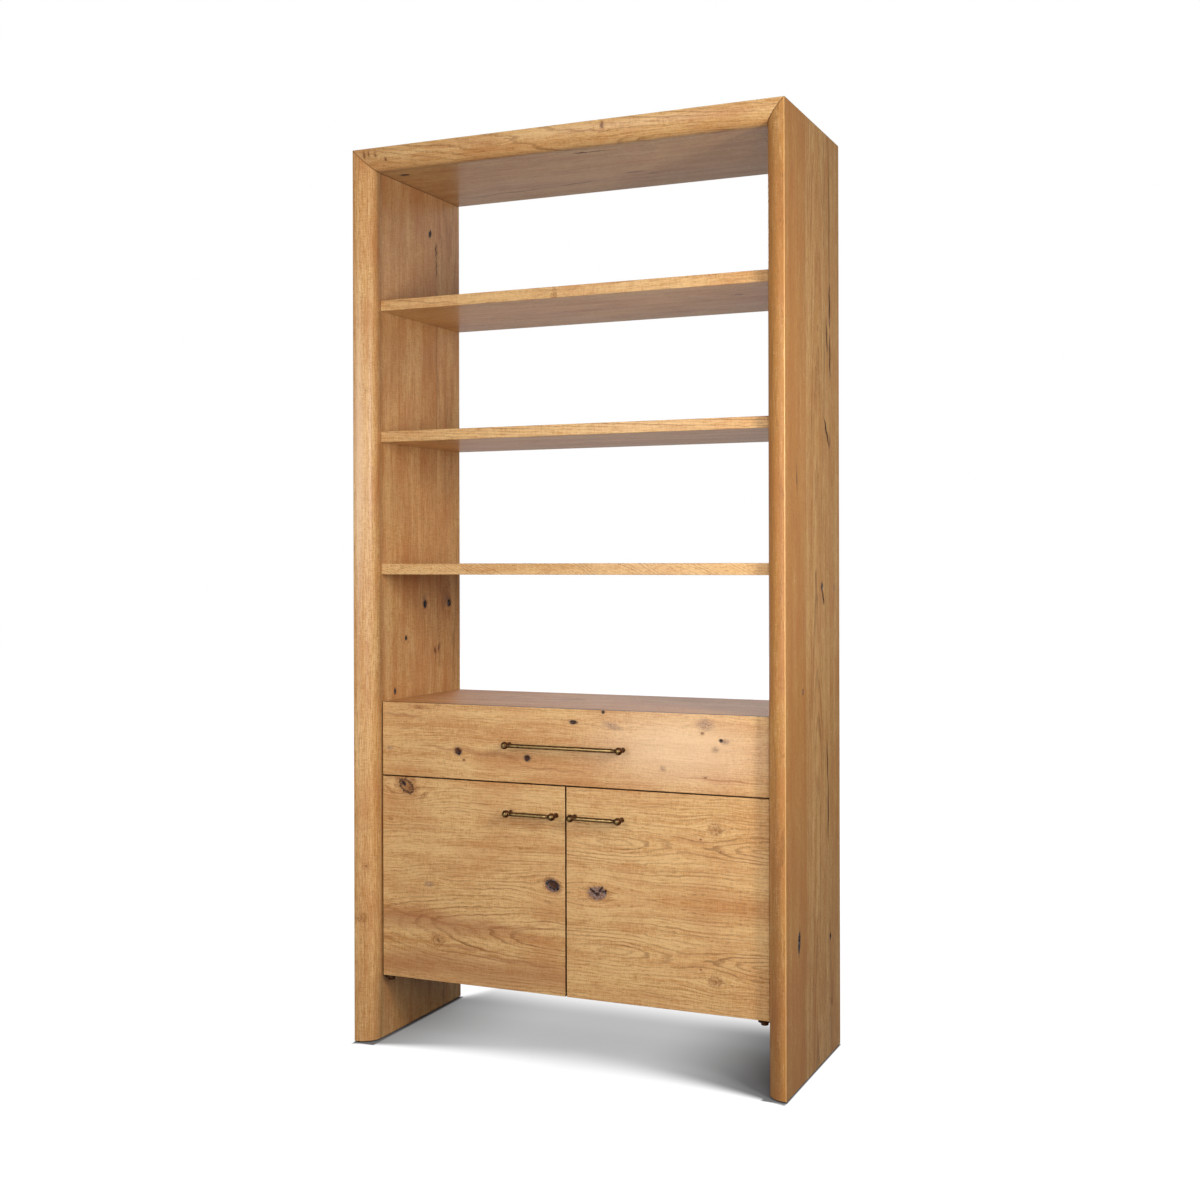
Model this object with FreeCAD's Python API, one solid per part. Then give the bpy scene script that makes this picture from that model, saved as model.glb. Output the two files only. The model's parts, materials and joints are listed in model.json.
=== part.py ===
import FreeCAD, Part
import math
import os
from collections import namedtuple

from FreeCAD import Vector

# Tall oak bookcase: four open bays over a cabinet with one wide drawer and two doors.
# Millimetres. X runs to the right as seen from the front, Y to the back and Z up.
# The origin is on the floor, midway between the sides and midway from front to back.

# Frame: two side panels and a top panel, mitred at the corners
WIDTH = 1124.0
DEPTH = 460.0
PANEL = 51.0
ARRIS_ROUND = 3.0  # small radius on the outer front edge; the rest of the edge is one large round
SPLINE_THICKNESS = 4.0
SPLINE_WIDTH = 26.0
SPLINE_INSET = 70.0  # from the front and back edges to the spline that crosses each mitre
GLIDE_THICKNESS = 3.0

# Clear heights, from the floor up
LEG_HEIGHT = 161.0
DOOR_HEIGHT = 502.5
DRAWER_FRONT_HEIGHT = 183.5
LOWER_BAY = 320.5
MIDDLE_BAY = 306.5
UPPER_BAY = 304.0
TOP_BAY = 321.0

# Board thicknesses
SHELF = 27.0
CABINET_BOTTOM = 25.0
DIVIDER = 20.0
CABINET_BACK = 6.0
INNER_SHELF = 18.0
FRONT = 20.0
DRAWER_WALL = 12.0
DRAWER_BOTTOM = 6.0

# How far boards stand back, and the gaps round them
SHELF_REVEAL = 2.0  # shelf fronts behind the end of the large round
FACE_REVEAL = 2.5  # door and drawer faces behind the end of the large round
BACK_INSET = 4.0
BOARD_EASE = 1.5
FRONT_SEAM = 0.8  # behind the drawer front and the doors
CENTRE_GAP = 4.0  # between the two doors
BACK_RABBET = 10.0
BACK_PLAY = 0.5
INNER_SHELF_SETBACK = 30.0
INNER_SHELF_PLAY = 1.5

# Dowels between the boards and the sides
DOWEL_RADIUS = 4.0
DOWEL_LENGTH = 36.0
DOWEL_INSET = 70.0
GLUE_LINE = 0.1  # round dowels, splines and screws
BORE_END = 1.0  # left free at the blind end of a bore

# Door pivots: a plate above and below each door, with a pin into a bush in the door's edge
PIVOT_INSET = 16.0
SWEEP_CLEARANCE = 0.4
PLATE_CLEARANCE = 0.5
UPPER_PLATE = 2.0
LOWER_PLATE = 3.0
DOOR_LIFT = 1.0
PLATE_HALF_WIDTH = 14.0
PLATE_REACH = 56.0  # from the pivot to the back end of a plate
PLATE_SCREWS = (32.0, 46.0)  # behind the pivot
BOSS_RADIUS = 9.0
BOSS_HEIGHT = 9.0
BOSS_ROUND = 3.0
BOSS_SET_BACK = 4.0  # from the pivot to the boss's centre
PIN_RADIUS = 3.0
PIN_ENGAGEMENT = 13.0
PIN_RUNNING_GAP = 0.05
BUSH_RADIUS = 6.0
BUSH_LENGTH = 16.0
BUSH_FLANGE_RADIUS = 9.0
BUSH_SEAT = 0.3

# Drawer box and its telescopic slides
DRAWER_ROOM_BELOW = 8.0
DRAWER_ROOM_ABOVE = 20.0
GROOVE_DEPTH = 6.0
GROOVE_HEIGHT = 10.0
GROOVE_PLAY = 0.3
SLIDE_WIDTH = 12.7
SLIDE_HALF_HEIGHT = 22.5
SLIDE_SHEET = 1.2
SLIDE_FRONT_ROOM = 5.5
SLIDE_BACK_ROOM = 16.0
RACE_GAP = 0.6  # between nested slide members, above and below
WEB_GAP = 1.8  # between the webs of the channel and the middle member
LIP_GAP = 0.8  # between the lips of one member and the web of the next

# Pulls: a bar between two balls, each on a post with a collar at the front
DRAWER_PULL_SPAN = 299.0
DOOR_PULL_SPAN = 122.0
DOOR_PULL_INSET = 22.5  # from the door's inner edge to the first ball's centre
DOOR_PULL_DROP = 70.0
PULL_STANDOFF = 27.0
BALL_RADIUS = 9.2
BAR_RADIUS = 5.0
NECK_RADIUS = 4.0
NECK_LENGTH = 20.0
POST_RADIUS = 4.0
COLLAR_RADIUS = 6.0
COLLAR_HEIGHT = 3.0

# Double magnetic catch and its strikes
CATCH_HALF_WIDTH = 35.0
CATCH_HEIGHT = 15.0
CATCH_DEPTH = 18.0
MAGNET_WIDTH = 22.0
MAGNET_HEIGHT = 9.0
MAGNET_DEPTH = 12.0
MAGNET_OFFSET = 15.0
STRIKE_WIDTH = 22.0
STRIKE_HEIGHT = 11.0
STRIKE_THICKNESS = 1.5
CATCH_SEAT = 0.3

# Fasteners: shank radius, length past the grip, head radius, head height
Screw = namedtuple("Screw", "radius length head head_height")
BACK_SCREW = Screw(1.75, 14.0, 3.5, 1.8)
PLATE_SCREW = Screw(1.75, 16.0, 3.4, 1.8)
SLIDE_SCREW = Screw(2.0, 13.0, 3.8, 1.2)
RUNNER_SCREW = Screw(2.0, 10.0, 3.8, 1.2)
FRONT_SCREW = Screw(2.0, 14.0, 4.0, 2.2)
PULL_SCREW = Screw(2.0, 10.0, 4.0, 2.2)
CATCH_SCREW = Screw(1.5, 14.0, 3.0, 1.6)
STRIKE_SCREW = Screw(1.3, 10.0, 2.6, 1.2)
RECESS_WIDTH = 0.9
RECESS_SHARE = 0.6  # of the head's height and radius
BACK_SCREW_INSET = 40.0

# Shelf pins and floor glides
PIN_HOLE_PITCH = 32.0
PIN_HOLES_EACH_WAY = 2
SHELF_PIN_RADIUS = 2.5
SHELF_PIN_DEPTH = 10.0
SHELF_PIN_REACH = 12.0
SHELF_PIN_INSET = 50.0
SHELF_PIN_SEAT = 0.1
GLIDE_RADIUS = 11.0
GLIDE_INSET = 46.0
NAIL_RADIUS = 1.4
NAIL_LENGTH = 18.0
NAIL_HEAD = 3.6
NAIL_HEAD_HEIGHT = 1.2

# Places worked out from the sizes above
HANDS = {"left": -1, "right": 1}
FRONT_Y = -DEPTH / 2
BACK_Y = DEPTH / 2
OUTER_X = WIDTH / 2
INNER_X = OUTER_X - PANEL
EDGE_ROUND = PANEL - ARRIS_ROUND
SHELF_FRONT = FRONT_Y + EDGE_ROUND + SHELF_REVEAL
FACE_Y = FRONT_Y + EDGE_ROUND + FACE_REVEAL
FRONTS_BACK = FACE_Y + FRONT
CARCASS_FRONT = FRONTS_BACK + FRONT_SEAM
BOARD_BACK = BACK_Y - BACK_INSET
PLY_FRONT = BOARD_BACK - CABINET_BACK

DOOR_BOTTOM = LEG_HEIGHT + DOOR_LIFT
DOOR_TOP = DOOR_BOTTOM + DOOR_HEIGHT
DIVIDER_BOTTOM = DOOR_TOP + PLATE_CLEARANCE + UPPER_PLATE
DIVIDER_TOP = DIVIDER_BOTTOM + DIVIDER
DRAWER_FRONT_BOTTOM = DIVIDER_BOTTOM + PLATE_CLEARANCE
CABINET_LEVEL = DRAWER_FRONT_BOTTOM + DRAWER_FRONT_HEIGHT
LOWER_LEVEL = CABINET_LEVEL + LOWER_BAY + SHELF
MIDDLE_LEVEL = LOWER_LEVEL + MIDDLE_BAY + SHELF
UPPER_LEVEL = MIDDLE_LEVEL + UPPER_BAY + SHELF
HEIGHT = UPPER_LEVEL + TOP_BAY + PANEL

SWEEP = math.hypot(PIVOT_INSET, FRONT / 2)  # reach of a door's outer corner from its pivot
SIDE_GAP = SWEEP - PIVOT_INSET + SWEEP_CLEARANCE
FRONT_HALF = INNER_X - SIDE_GAP
PIVOT_X = FRONT_HALF - PIVOT_INSET
PIVOT_Y = FACE_Y + FRONT / 2

SLIDE_Y0 = FRONTS_BACK + SLIDE_FRONT_ROOM
SLIDE_Y1 = PLY_FRONT - SLIDE_BACK_ROOM
BOX_X = INNER_X - SLIDE_WIDTH
BOX_BOTTOM = DIVIDER_TOP + DRAWER_ROOM_BELOW
BOX_TOP = CABINET_LEVEL - SHELF - DRAWER_ROOM_ABOVE
SLIDE_Z = (BOX_BOTTOM + BOX_TOP) / 2
DRAWER_PULL_Z = (DRAWER_FRONT_BOTTOM + CABINET_LEVEL) / 2
DOOR_PULL_Z = DOOR_TOP - DOOR_PULL_DROP
DOOR_PULL_X = CENTRE_GAP / 2 + DOOR_PULL_INSET + DOOR_PULL_SPAN / 2
BAR_Y = FACE_Y - PULL_STANDOFF

INNER_SHELF_FRONT = FRONTS_BACK + INNER_SHELF_SETBACK
INNER_SHELF_BACK = PLY_FRONT - BACK_PLAY
INNER_SHELF_BOTTOM = (LEG_HEIGHT + CABINET_BOTTOM + DIVIDER_BOTTOM - INNER_SHELF) / 2
SHELF_PIN_Z = INNER_SHELF_BOTTOM - SHELF_PIN_SEAT - SHELF_PIN_RADIUS
CATCH_FRONT = FRONTS_BACK + STRIKE_THICKNESS + CATCH_SEAT
CATCH_Z = DIVIDER_BOTTOM - CATCH_HEIGHT / 2
CATCH_SCREW_X = (MAGNET_OFFSET + MAGNET_WIDTH / 2 + CATCH_HALF_WIDTH) / 2
STRIKE_Z = min(CATCH_Z, DOOR_TOP - STRIKE_HEIGHT / 2 - BOARD_EASE)
LEG_X = OUTER_X - PANEL / 2

# Boards that run from side to side, held by dowels
Board = namedtuple("Board", "top thickness front back")
SHELVES = {
    "shelf_upper": Board(UPPER_LEVEL, SHELF, SHELF_FRONT, BOARD_BACK),
    "shelf_middle": Board(MIDDLE_LEVEL, SHELF, SHELF_FRONT, BOARD_BACK),
    "shelf_lower": Board(LOWER_LEVEL, SHELF, SHELF_FRONT, BOARD_BACK),
}
CARCASS = {
    "cabinet_top": Board(CABINET_LEVEL, SHELF, CARCASS_FRONT, BOARD_BACK),
    "drawer_divider": Board(DIVIDER_TOP, DIVIDER, CARCASS_FRONT, PLY_FRONT),
    "cabinet_bottom": Board(LEG_HEIGHT + CABINET_BOTTOM, CABINET_BOTTOM, CARCASS_FRONT, PLY_FRONT),
}


def block(x0, x1, y0, y1, z0, z1):
    """Box between two corners, whichever way round they are given."""
    low = Vector(min(x0, x1), min(y0, y1), min(z0, z1))
    return Part.makeBox(abs(x1 - x0), abs(y1 - y0), abs(z1 - z0), low)


def wall_block(hand, inward0, inward1, y0, y1, z0, z1):
    """Box placed by its distance inward from a side panel's inner face."""
    return block(hand * (INNER_X - inward0), hand * (INNER_X - inward1), y0, y1, z0, z1)


def bar(radius, start, along):
    """Round bar from a point, as long as the vector along."""
    return Part.makeCylinder(radius, along.Length, start, along)


def cut_all(solid, tools):
    """Solid with every tool taken out of it."""
    return solid.cut(Part.makeCompound(tools)) if tools else solid


def round_edges(solid, radius, wanted):
    """Solid with a radius on the edges that wanted picks by their bounding box."""
    edges = [edge for edge in solid.Edges if wanted(edge.BoundBox)]
    return solid.makeFillet(radius, edges)


def at_front(solid):
    """Test that picks the edges lying in a solid's front face."""
    front = solid.BoundBox.YMin
    return lambda reach: reach.YMax - front < BOARD_EASE / 2


def long_front(solid):
    """Test that picks only the front edges that run along X."""
    front = at_front(solid)
    return lambda reach: front(reach) and reach.XLength > reach.ZLength


def edge_section(place):
    """Section of a frame panel, by depth into its thickness and distance from its front edge."""
    diagonal = math.sqrt(0.5)
    corner = place(0, ARRIS_ROUND)
    crest = place(ARRIS_ROUND, 0)
    shoulder = place(PANEL, EDGE_ROUND)
    arris_middle = place(ARRIS_ROUND * (1 - diagonal), ARRIS_ROUND * (1 - diagonal))
    round_middle = place(ARRIS_ROUND + EDGE_ROUND * diagonal, EDGE_ROUND * (1 - diagonal))
    edges = [
        Part.makeLine(place(0, DEPTH), corner),
        Part.Arc(corner, arris_middle, crest).toShape(),
        Part.Arc(crest, round_middle, shoulder).toShape(),
        Part.makeLine(shoulder, place(PANEL, DEPTH)),
        Part.makeLine(place(PANEL, DEPTH), place(0, DEPTH)),
    ]
    return Part.Face(Part.Wire(edges))


def face_on_prism(corners):
    """Prism the full depth of the unit, over an outline seen from the front."""
    points = [Vector(x, FRONT_Y, z) for x, z in corners]
    outline = Part.makePolygon(points + points[:1])
    return Part.Face(outline).extrude(Vector(0, DEPTH, 0))


def screw(kind, seat, into, grip=0.0):
    """Screw whose head sits at seat and whose shank runs grip plus its length along into."""
    into = Vector(into).normalize()
    shank = bar(kind.radius, seat, into * (kind.length + grip))
    head = bar(kind.head, seat, into * -kind.head_height)
    crown = seat - into * kind.head_height
    return head.fuse(shank).cut(recess(kind, crown, into))


def sunk_screw(kind, seat, into):
    """Screw with a cone head whose flat top lies at seat."""
    into = Vector(into).normalize()
    head = Part.makeCone(kind.head, kind.radius, kind.head_height, seat, into)
    shank = bar(kind.radius, seat, into * kind.length)
    return head.fuse(shank).cut(recess(kind, seat, into))


def recess(kind, crown, into):
    """Cross recess in a screw's head, to be cut out of it."""
    across = Vector(0, 0, 1) if abs(into.z) < 0.5 else Vector(1, 0, 0)
    other = into.cross(across)
    reach = kind.head * RECESS_SHARE
    deep = kind.head_height * RECESS_SHARE
    slots = [slot_prism(crown, way, into, reach, deep) for way in (across, other)]
    return slots[0].fuse(slots[1])


def slot_prism(crown, way, into, reach, deep):
    """Thin block along way, centred on the crown of a screw's head."""
    thick = way.cross(into) * (RECESS_WIDTH / 2)
    ends = [way * reach + thick, way * reach - thick, way * -reach - thick, way * -reach + thick]
    points = [crown + end for end in ends]
    return Part.Face(Part.makePolygon(points + points[:1])).extrude(into * deep)


def screw_bore(kind, seat, into, grip=0.0):
    """Bore for a screw's shank, a little longer than the screw."""
    into = Vector(into).normalize()
    return bar(kind.radius + GLUE_LINE, seat, into * (kind.length + grip + BORE_END))


def sunk_bore(kind, seat, into):
    """Countersunk bore for a cone-headed screw."""
    into = Vector(into).normalize()
    head, neck = kind.head + GLUE_LINE, kind.radius + GLUE_LINE
    return Part.makeCone(head, neck, kind.head_height, seat, into).fuse(screw_bore(kind, seat, into))


def dowel_points(board):
    """Height and distances back of the dowels at each end of a board."""
    height = board.top - board.thickness / 2
    first, last = board.front + DOWEL_INSET, board.back - DOWEL_INSET
    return [(y, height) for y in (first, (first + last) / 2, last)]


def dowels(boards, slack=0.0):
    """Dowels of some boards, or with a slack the bores that take them."""
    half = DOWEL_LENGTH / 2 + (BORE_END if slack else 0)
    return [
        bar(DOWEL_RADIUS + slack, Vector(hand * INNER_X - half, y, z), Vector(2 * half, 0, 0))
        for board in boards
        for hand in HANDS.values()
        for y, z in dowel_points(board)
    ]


def mitre_spline(hand, slack=0.0):
    """Flat tongue across the mitre at one top corner."""
    middle = Vector(hand * LEG_X, 0, HEIGHT - PANEL / 2)
    half_width, half_thickness = SPLINE_WIDTH / 2 + slack, SPLINE_THICKNESS / 2 + slack
    end = BACK_Y - SPLINE_INSET + slack
    tongue = block(-half_width, half_width, -end, end, -half_thickness, half_thickness)
    tongue.rotate(Vector(0, 0, 0), Vector(0, 1, 0), hand * 45)
    tongue.translate(middle)
    return tongue


def shelf_pin_points():
    """Distance back and height of the inner shelf's pins."""
    ends = (INNER_SHELF_FRONT + SHELF_PIN_INSET, INNER_SHELF_BACK - SHELF_PIN_INSET)
    return [(y, SHELF_PIN_Z) for y in ends]


def shelf_pin_holes(hand):
    """Two columns of holes in a side panel that the pins can be moved between."""
    steps = range(-PIN_HOLES_EACH_WAY, PIN_HOLES_EACH_WAY + 1)
    return [
        bar(
            SHELF_PIN_RADIUS + GLUE_LINE,
            Vector(hand * INNER_X, y, z + step * PIN_HOLE_PITCH),
            Vector(hand * (SHELF_PIN_DEPTH + BORE_END), 0, 0),
        )
        for y, z in shelf_pin_points()
        for step in steps
    ]


def shelf_pins():
    """Four pins, partly in the sides and partly under the inner shelf."""
    length = SHELF_PIN_DEPTH + SHELF_PIN_REACH
    return [
        bar(SHELF_PIN_RADIUS, Vector(hand * (INNER_X + SHELF_PIN_DEPTH), y, z), Vector(-hand * length, 0, 0))
        for hand in HANDS.values()
        for y, z in shelf_pin_points()
    ]


def glide_points(hand):
    """Where the glides stand under one side panel."""
    return [Vector(hand * LEG_X, y, 0) for y in (FRONT_Y + GLIDE_INSET, BACK_Y - GLIDE_INSET)]


def nail_bores(hand):
    """Bores for the glides' nails, up into one side panel."""
    start = Vector(0, 0, GLIDE_THICKNESS)
    up = Vector(0, 0, NAIL_LENGTH)
    return [bar(NAIL_RADIUS + GLUE_LINE, point + start, up) for point in glide_points(hand)]


def back_screw_points():
    """Centres of the screws that hold the plywood back."""
    low, high = LEG_HEIGHT + CABINET_BOTTOM / 2, DIVIDER_TOP - DIVIDER / 2
    edge = INNER_X + BACK_RABBET / 2
    third = INNER_X / 3
    rows = [(x, z) for z in (low, high) for x in (-2 * third, 0, 2 * third)]
    rises = (low + BACK_SCREW_INSET, (low + high) / 2, high - BACK_SCREW_INSET)
    columns = [(hand * edge, z) for hand in HANDS.values() for z in rises]
    return [Vector(x, BOARD_BACK, z) for x, z in rows + columns]


def back_screw_bores():
    """Bores of the back's screws, through the plywood and into what is in front of it."""
    return [screw_bore(BACK_SCREW, point, Vector(0, -1, 0), CABINET_BACK) for point in back_screw_points()]


def slide_screw_points():
    """Distances back of the screws along one slide."""
    length = SLIDE_Y1 - SLIDE_Y0
    return [SLIDE_Y0 + length * share for share in (0.12, 0.5, 0.88)]


def slide_screws(hand, make):
    """Screws, or their bores, that hold a channel to its side panel."""
    seats = [Vector(hand * (INNER_X - SLIDE_SHEET), y, SLIDE_Z) for y in slide_screw_points()]
    return [make(SLIDE_SCREW, seat, Vector(hand, 0, 0)) for seat in seats]


def runner_screws(hand, make):
    """Screws, or their bores, that hold a runner to its drawer side."""
    seats = [Vector(hand * (BOX_X + SLIDE_SHEET), y, SLIDE_Z) for y in slide_screw_points()]
    return [make(RUNNER_SCREW, seat, Vector(-hand, 0, 0)) for seat in seats]


def side_panel(hand):
    """Side panel from its glides to the mitre, bored for all that it carries."""
    section = edge_section(lambda depth, back: Vector(hand * (OUTER_X - depth), FRONT_Y + back, 0))
    outline = [
        (hand * INNER_X, GLIDE_THICKNESS),
        (hand * OUTER_X, GLIDE_THICKNESS),
        (hand * OUTER_X, HEIGHT),
        (hand * INNER_X, HEIGHT - PANEL),
    ]
    panel = section.extrude(Vector(0, 0, HEIGHT)).common(face_on_prism(outline))
    rabbet = wall_block(hand, 0, -BACK_RABBET, PLY_FRONT, BACK_Y, LEG_HEIGHT, CABINET_LEVEL - SHELF)
    tools = [rabbet, mitre_spline(hand, GLUE_LINE)]
    tools += dowels([*SHELVES.values(), *CARCASS.values()], GLUE_LINE)
    tools += shelf_pin_holes(hand) + nail_bores(hand)
    tools += slide_screws(hand, screw_bore) + back_screw_bores()
    return cut_all(panel, tools)


def top_panel():
    """Top panel, mitred at both ends to meet the sides."""
    section = edge_section(lambda depth, back: Vector(-OUTER_X, FRONT_Y + back, HEIGHT - depth))
    outline = [
        (-OUTER_X, HEIGHT),
        (OUTER_X, HEIGHT),
        (INNER_X, HEIGHT - PANEL),
        (-INNER_X, HEIGHT - PANEL),
    ]
    panel = section.extrude(Vector(WIDTH, 0, 0)).common(face_on_prism(outline))
    return cut_all(panel, [mitre_spline(hand, GLUE_LINE) for hand in HANDS.values()])


def cross_board(board):
    """Board from side to side with eased front edges and dowel bores in its ends."""
    slab = block(-INNER_X, INNER_X, board.front, board.back, board.top - board.thickness, board.top)
    eased = round_edges(slab, BOARD_EASE, long_front(slab))
    return cut_all(eased, dowels([board], GLUE_LINE))


def sweep_relief():
    """Round clearance for the doors' outer corners, through the front of the carcass boards."""
    radius = SWEEP + SWEEP_CLEARANCE + FRONT_SEAM
    return [
        bar(radius, Vector(hand * PIVOT_X, PIVOT_Y, 0), Vector(0, 0, DIVIDER_TOP + DIVIDER))
        for hand in HANDS.values()
    ]


def pivot_screws(make, seat_z, up):
    """Screws, or their bores, that hold the pivot plates at one height."""
    return [
        make(PLATE_SCREW, Vector(hand * PIVOT_X, PIVOT_Y + behind, seat_z), Vector(0, 0, up))
        for hand in HANDS.values()
        for behind in PLATE_SCREWS
    ]


def catch_screws(make):
    """Screws, or their bores, that hold the catch under the divider."""
    y = CATCH_FRONT + CATCH_DEPTH / 2
    seats = [Vector(hand * CATCH_SCREW_X, y, DIVIDER_BOTTOM - CATCH_HEIGHT) for hand in HANDS.values()]
    return [make(CATCH_SCREW, seat, Vector(0, 0, 1), CATCH_HEIGHT) for seat in seats]


def cabinet_bottom():
    """Floor of the cabinet."""
    tools = sweep_relief() + pivot_screws(screw_bore, LEG_HEIGHT - LOWER_PLATE, 1) + back_screw_bores()
    return cut_all(cross_board(CARCASS["cabinet_bottom"]), tools)


def drawer_divider():
    """Board between the drawer and the doors, which carries the upper pivots and the catch."""
    tools = sweep_relief() + pivot_screws(screw_bore, DIVIDER_BOTTOM - UPPER_PLATE, 1)
    tools += back_screw_bores() + catch_screws(screw_bore)
    return cut_all(cross_board(CARCASS["drawer_divider"]), tools)


def cabinet_back():
    """Plywood back of the cabinet, in the rabbets of the two sides."""
    half = INNER_X + BACK_RABBET - BACK_PLAY
    sheet = block(-half, half, PLY_FRONT, BOARD_BACK, LEG_HEIGHT, CABINET_LEVEL - SHELF)
    return cut_all(sheet, back_screw_bores())


def inner_shelf():
    """Loose shelf inside the cabinet."""
    half = INNER_X - INNER_SHELF_PLAY
    top = INNER_SHELF_BOTTOM + INNER_SHELF
    slab = block(-half, half, INNER_SHELF_FRONT, INNER_SHELF_BACK, INNER_SHELF_BOTTOM, top)
    return round_edges(slab, BOARD_EASE, long_front(slab))


def nail(point):
    """Nail through one glide, its head sunk in the glide's underside."""
    seat = point + Vector(0, 0, NAIL_HEAD_HEIGHT / 2)
    head = bar(NAIL_HEAD, seat, Vector(0, 0, NAIL_HEAD_HEIGHT))
    reach = GLIDE_THICKNESS + NAIL_LENGTH - BORE_END - NAIL_HEAD_HEIGHT / 2
    return head.fuse(bar(NAIL_RADIUS, seat, Vector(0, 0, reach)))


def glide(point):
    """Round glide under a side panel, counterbored for its nail."""
    disc = bar(GLIDE_RADIUS, point, Vector(0, 0, GLIDE_THICKNESS))
    head_hole = bar(NAIL_HEAD + GLUE_LINE, point, Vector(0, 0, NAIL_HEAD_HEIGHT * 1.5))
    shank_hole = bar(NAIL_RADIUS + GLUE_LINE, point, Vector(0, 0, GLIDE_THICKNESS))
    return cut_all(disc, [head_hole, shank_hole])


def plate_outline(hand, bottom, thickness):
    """Pivot plate: a tongue with a round end about the pivot."""
    x = hand * PIVOT_X
    tongue = block(
        x - PLATE_HALF_WIDTH,
        x + PLATE_HALF_WIDTH,
        PIVOT_Y,
        PIVOT_Y + PLATE_REACH,
        bottom,
        bottom + thickness,
    )
    nose = bar(PLATE_HALF_WIDTH, Vector(x, PIVOT_Y, bottom), Vector(0, 0, thickness))
    return tongue.fuse(nose).removeSplitter()


def pivot_hole(hand, bottom, top):
    """Hole that holds a pivot pin in its plate."""
    return bar(PIN_RADIUS, Vector(hand * PIVOT_X, PIVOT_Y, bottom), Vector(0, 0, top - bottom))


def lower_pivot_plate(hand):
    """Plate under the cabinet floor, with the round boss that shows below the door."""
    bottom = LEG_HEIGHT - LOWER_PLATE
    plate = plate_outline(hand, bottom, LOWER_PLATE)
    centre = Vector(hand * PIVOT_X, PIVOT_Y + BOSS_SET_BACK, bottom - BOSS_HEIGHT)
    boss = bar(BOSS_RADIUS, centre, Vector(0, 0, BOSS_HEIGHT))
    boss = round_edges(boss, BOSS_ROUND, lambda reach: reach.ZMax - centre.z < BOSS_ROUND / 2)
    bores = pivot_screws(sunk_bore, bottom, 1)
    return cut_all(plate.fuse(boss), [*bores, pivot_hole(hand, centre.z + BOSS_ROUND, LEG_HEIGHT)])


def upper_pivot_plate(hand):
    """Thin plate under the divider, in the gap above the door."""
    bottom = DIVIDER_BOTTOM - UPPER_PLATE
    bores = pivot_screws(sunk_bore, bottom, 1)
    plate = plate_outline(hand, bottom, UPPER_PLATE)
    return cut_all(plate, [*bores, pivot_hole(hand, bottom, DIVIDER_BOTTOM)])


def lower_pivot_pin(hand):
    """Pin that carries the door's weight through its lower bush."""
    bottom = LEG_HEIGHT - LOWER_PLATE - BOSS_HEIGHT + BOSS_ROUND
    length = DOOR_BOTTOM + PIN_ENGAGEMENT - bottom
    return bar(PIN_RADIUS, Vector(hand * PIVOT_X, PIVOT_Y, bottom), Vector(0, 0, length))


def upper_pivot_pin(hand):
    """Pin that steadies the door at its top edge."""
    length = DIVIDER_BOTTOM - DOOR_TOP + PIN_ENGAGEMENT
    return bar(PIN_RADIUS, Vector(hand * PIVOT_X, PIVOT_Y, DIVIDER_BOTTOM), Vector(0, 0, -length))


def door_bush(hand, end, up, flange):
    """Sleeve in a door's edge at a pivot, with a flange where it carries the door."""
    start = Vector(hand * PIVOT_X, PIVOT_Y, end)
    into = Vector(0, 0, up)
    sleeve = bar(BUSH_RADIUS, start, into * BUSH_LENGTH)
    if flange:
        sleeve = sleeve.fuse(bar(BUSH_FLANGE_RADIUS, start, into * -flange))
    bore = bar(PIN_RADIUS + PIN_RUNNING_GAP, start - into * flange, into * (BUSH_LENGTH + flange))
    return sleeve.cut(bore)


def door_bushes(hand):
    """The two bushes of one door."""
    lower = door_bush(hand, DOOR_BOTTOM, 1, DOOR_LIFT - BUSH_SEAT)
    upper = door_bush(hand, DOOR_TOP, -1, 0)
    return [lower, upper]


def bush_holes(hand):
    """Holes in a door's edges that hold its bushes."""
    length = BUSH_LENGTH + BORE_END
    return [
        bar(BUSH_RADIUS, Vector(hand * PIVOT_X, PIVOT_Y, DOOR_BOTTOM), Vector(0, 0, length)),
        bar(BUSH_RADIUS, Vector(hand * PIVOT_X, PIVOT_Y, DOOR_TOP), Vector(0, 0, -length)),
    ]


def pull_posts(centre_x, span, z):
    """Points on the front's face where a pull's posts stand."""
    return [Vector(centre_x + way * span / 2, FACE_Y, z) for way in (-1, 1)]


def pull_bar(centre_x, span, z):
    """Bar with a ball at each end, turned about its own axis."""
    ball_x = span / 2
    cap = math.sqrt(BALL_RADIUS**2 - NECK_RADIUS**2)
    tip, crest = Vector(-ball_x - BALL_RADIUS, 0, 0), Vector(-ball_x, 0, BALL_RADIUS)
    neck, waist = Vector(-ball_x + cap, 0, NECK_RADIUS), Vector(-ball_x + NECK_LENGTH, 0, BAR_RADIUS)
    across = [Vector(-point.x, 0, point.z) for point in (tip, crest, neck, waist)]
    edges = [
        Part.Arc(tip, crest, neck).toShape(),
        Part.makeLine(neck, waist),
        Part.makeLine(waist, across[3]),
        Part.makeLine(across[3], across[2]),
        Part.Arc(across[2], across[1], across[0]).toShape(),
        Part.makeLine(across[0], tip),
    ]
    turned = Part.Face(Part.Wire(edges)).revolve(Vector(0, 0, 0), Vector(1, 0, 0), 360)
    turned.translate(Vector(centre_x, BAR_Y, z))
    return turned


def pull(centre_x, span, z):
    """Cast pull: bar, balls, posts and collars in one piece, tapped for its screws."""
    body = pull_bar(centre_x, span, z)
    for foot in pull_posts(centre_x, span, z):
        post = bar(POST_RADIUS, foot, Vector(0, -PULL_STANDOFF, 0))
        collar = Part.makeCone(COLLAR_RADIUS, POST_RADIUS, COLLAR_HEIGHT, foot, Vector(0, -1, 0))
        body = body.fuse(post).fuse(collar)
    return cut_all(body, pull_screws(screw_bore, centre_x, span, z, 0))


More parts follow.
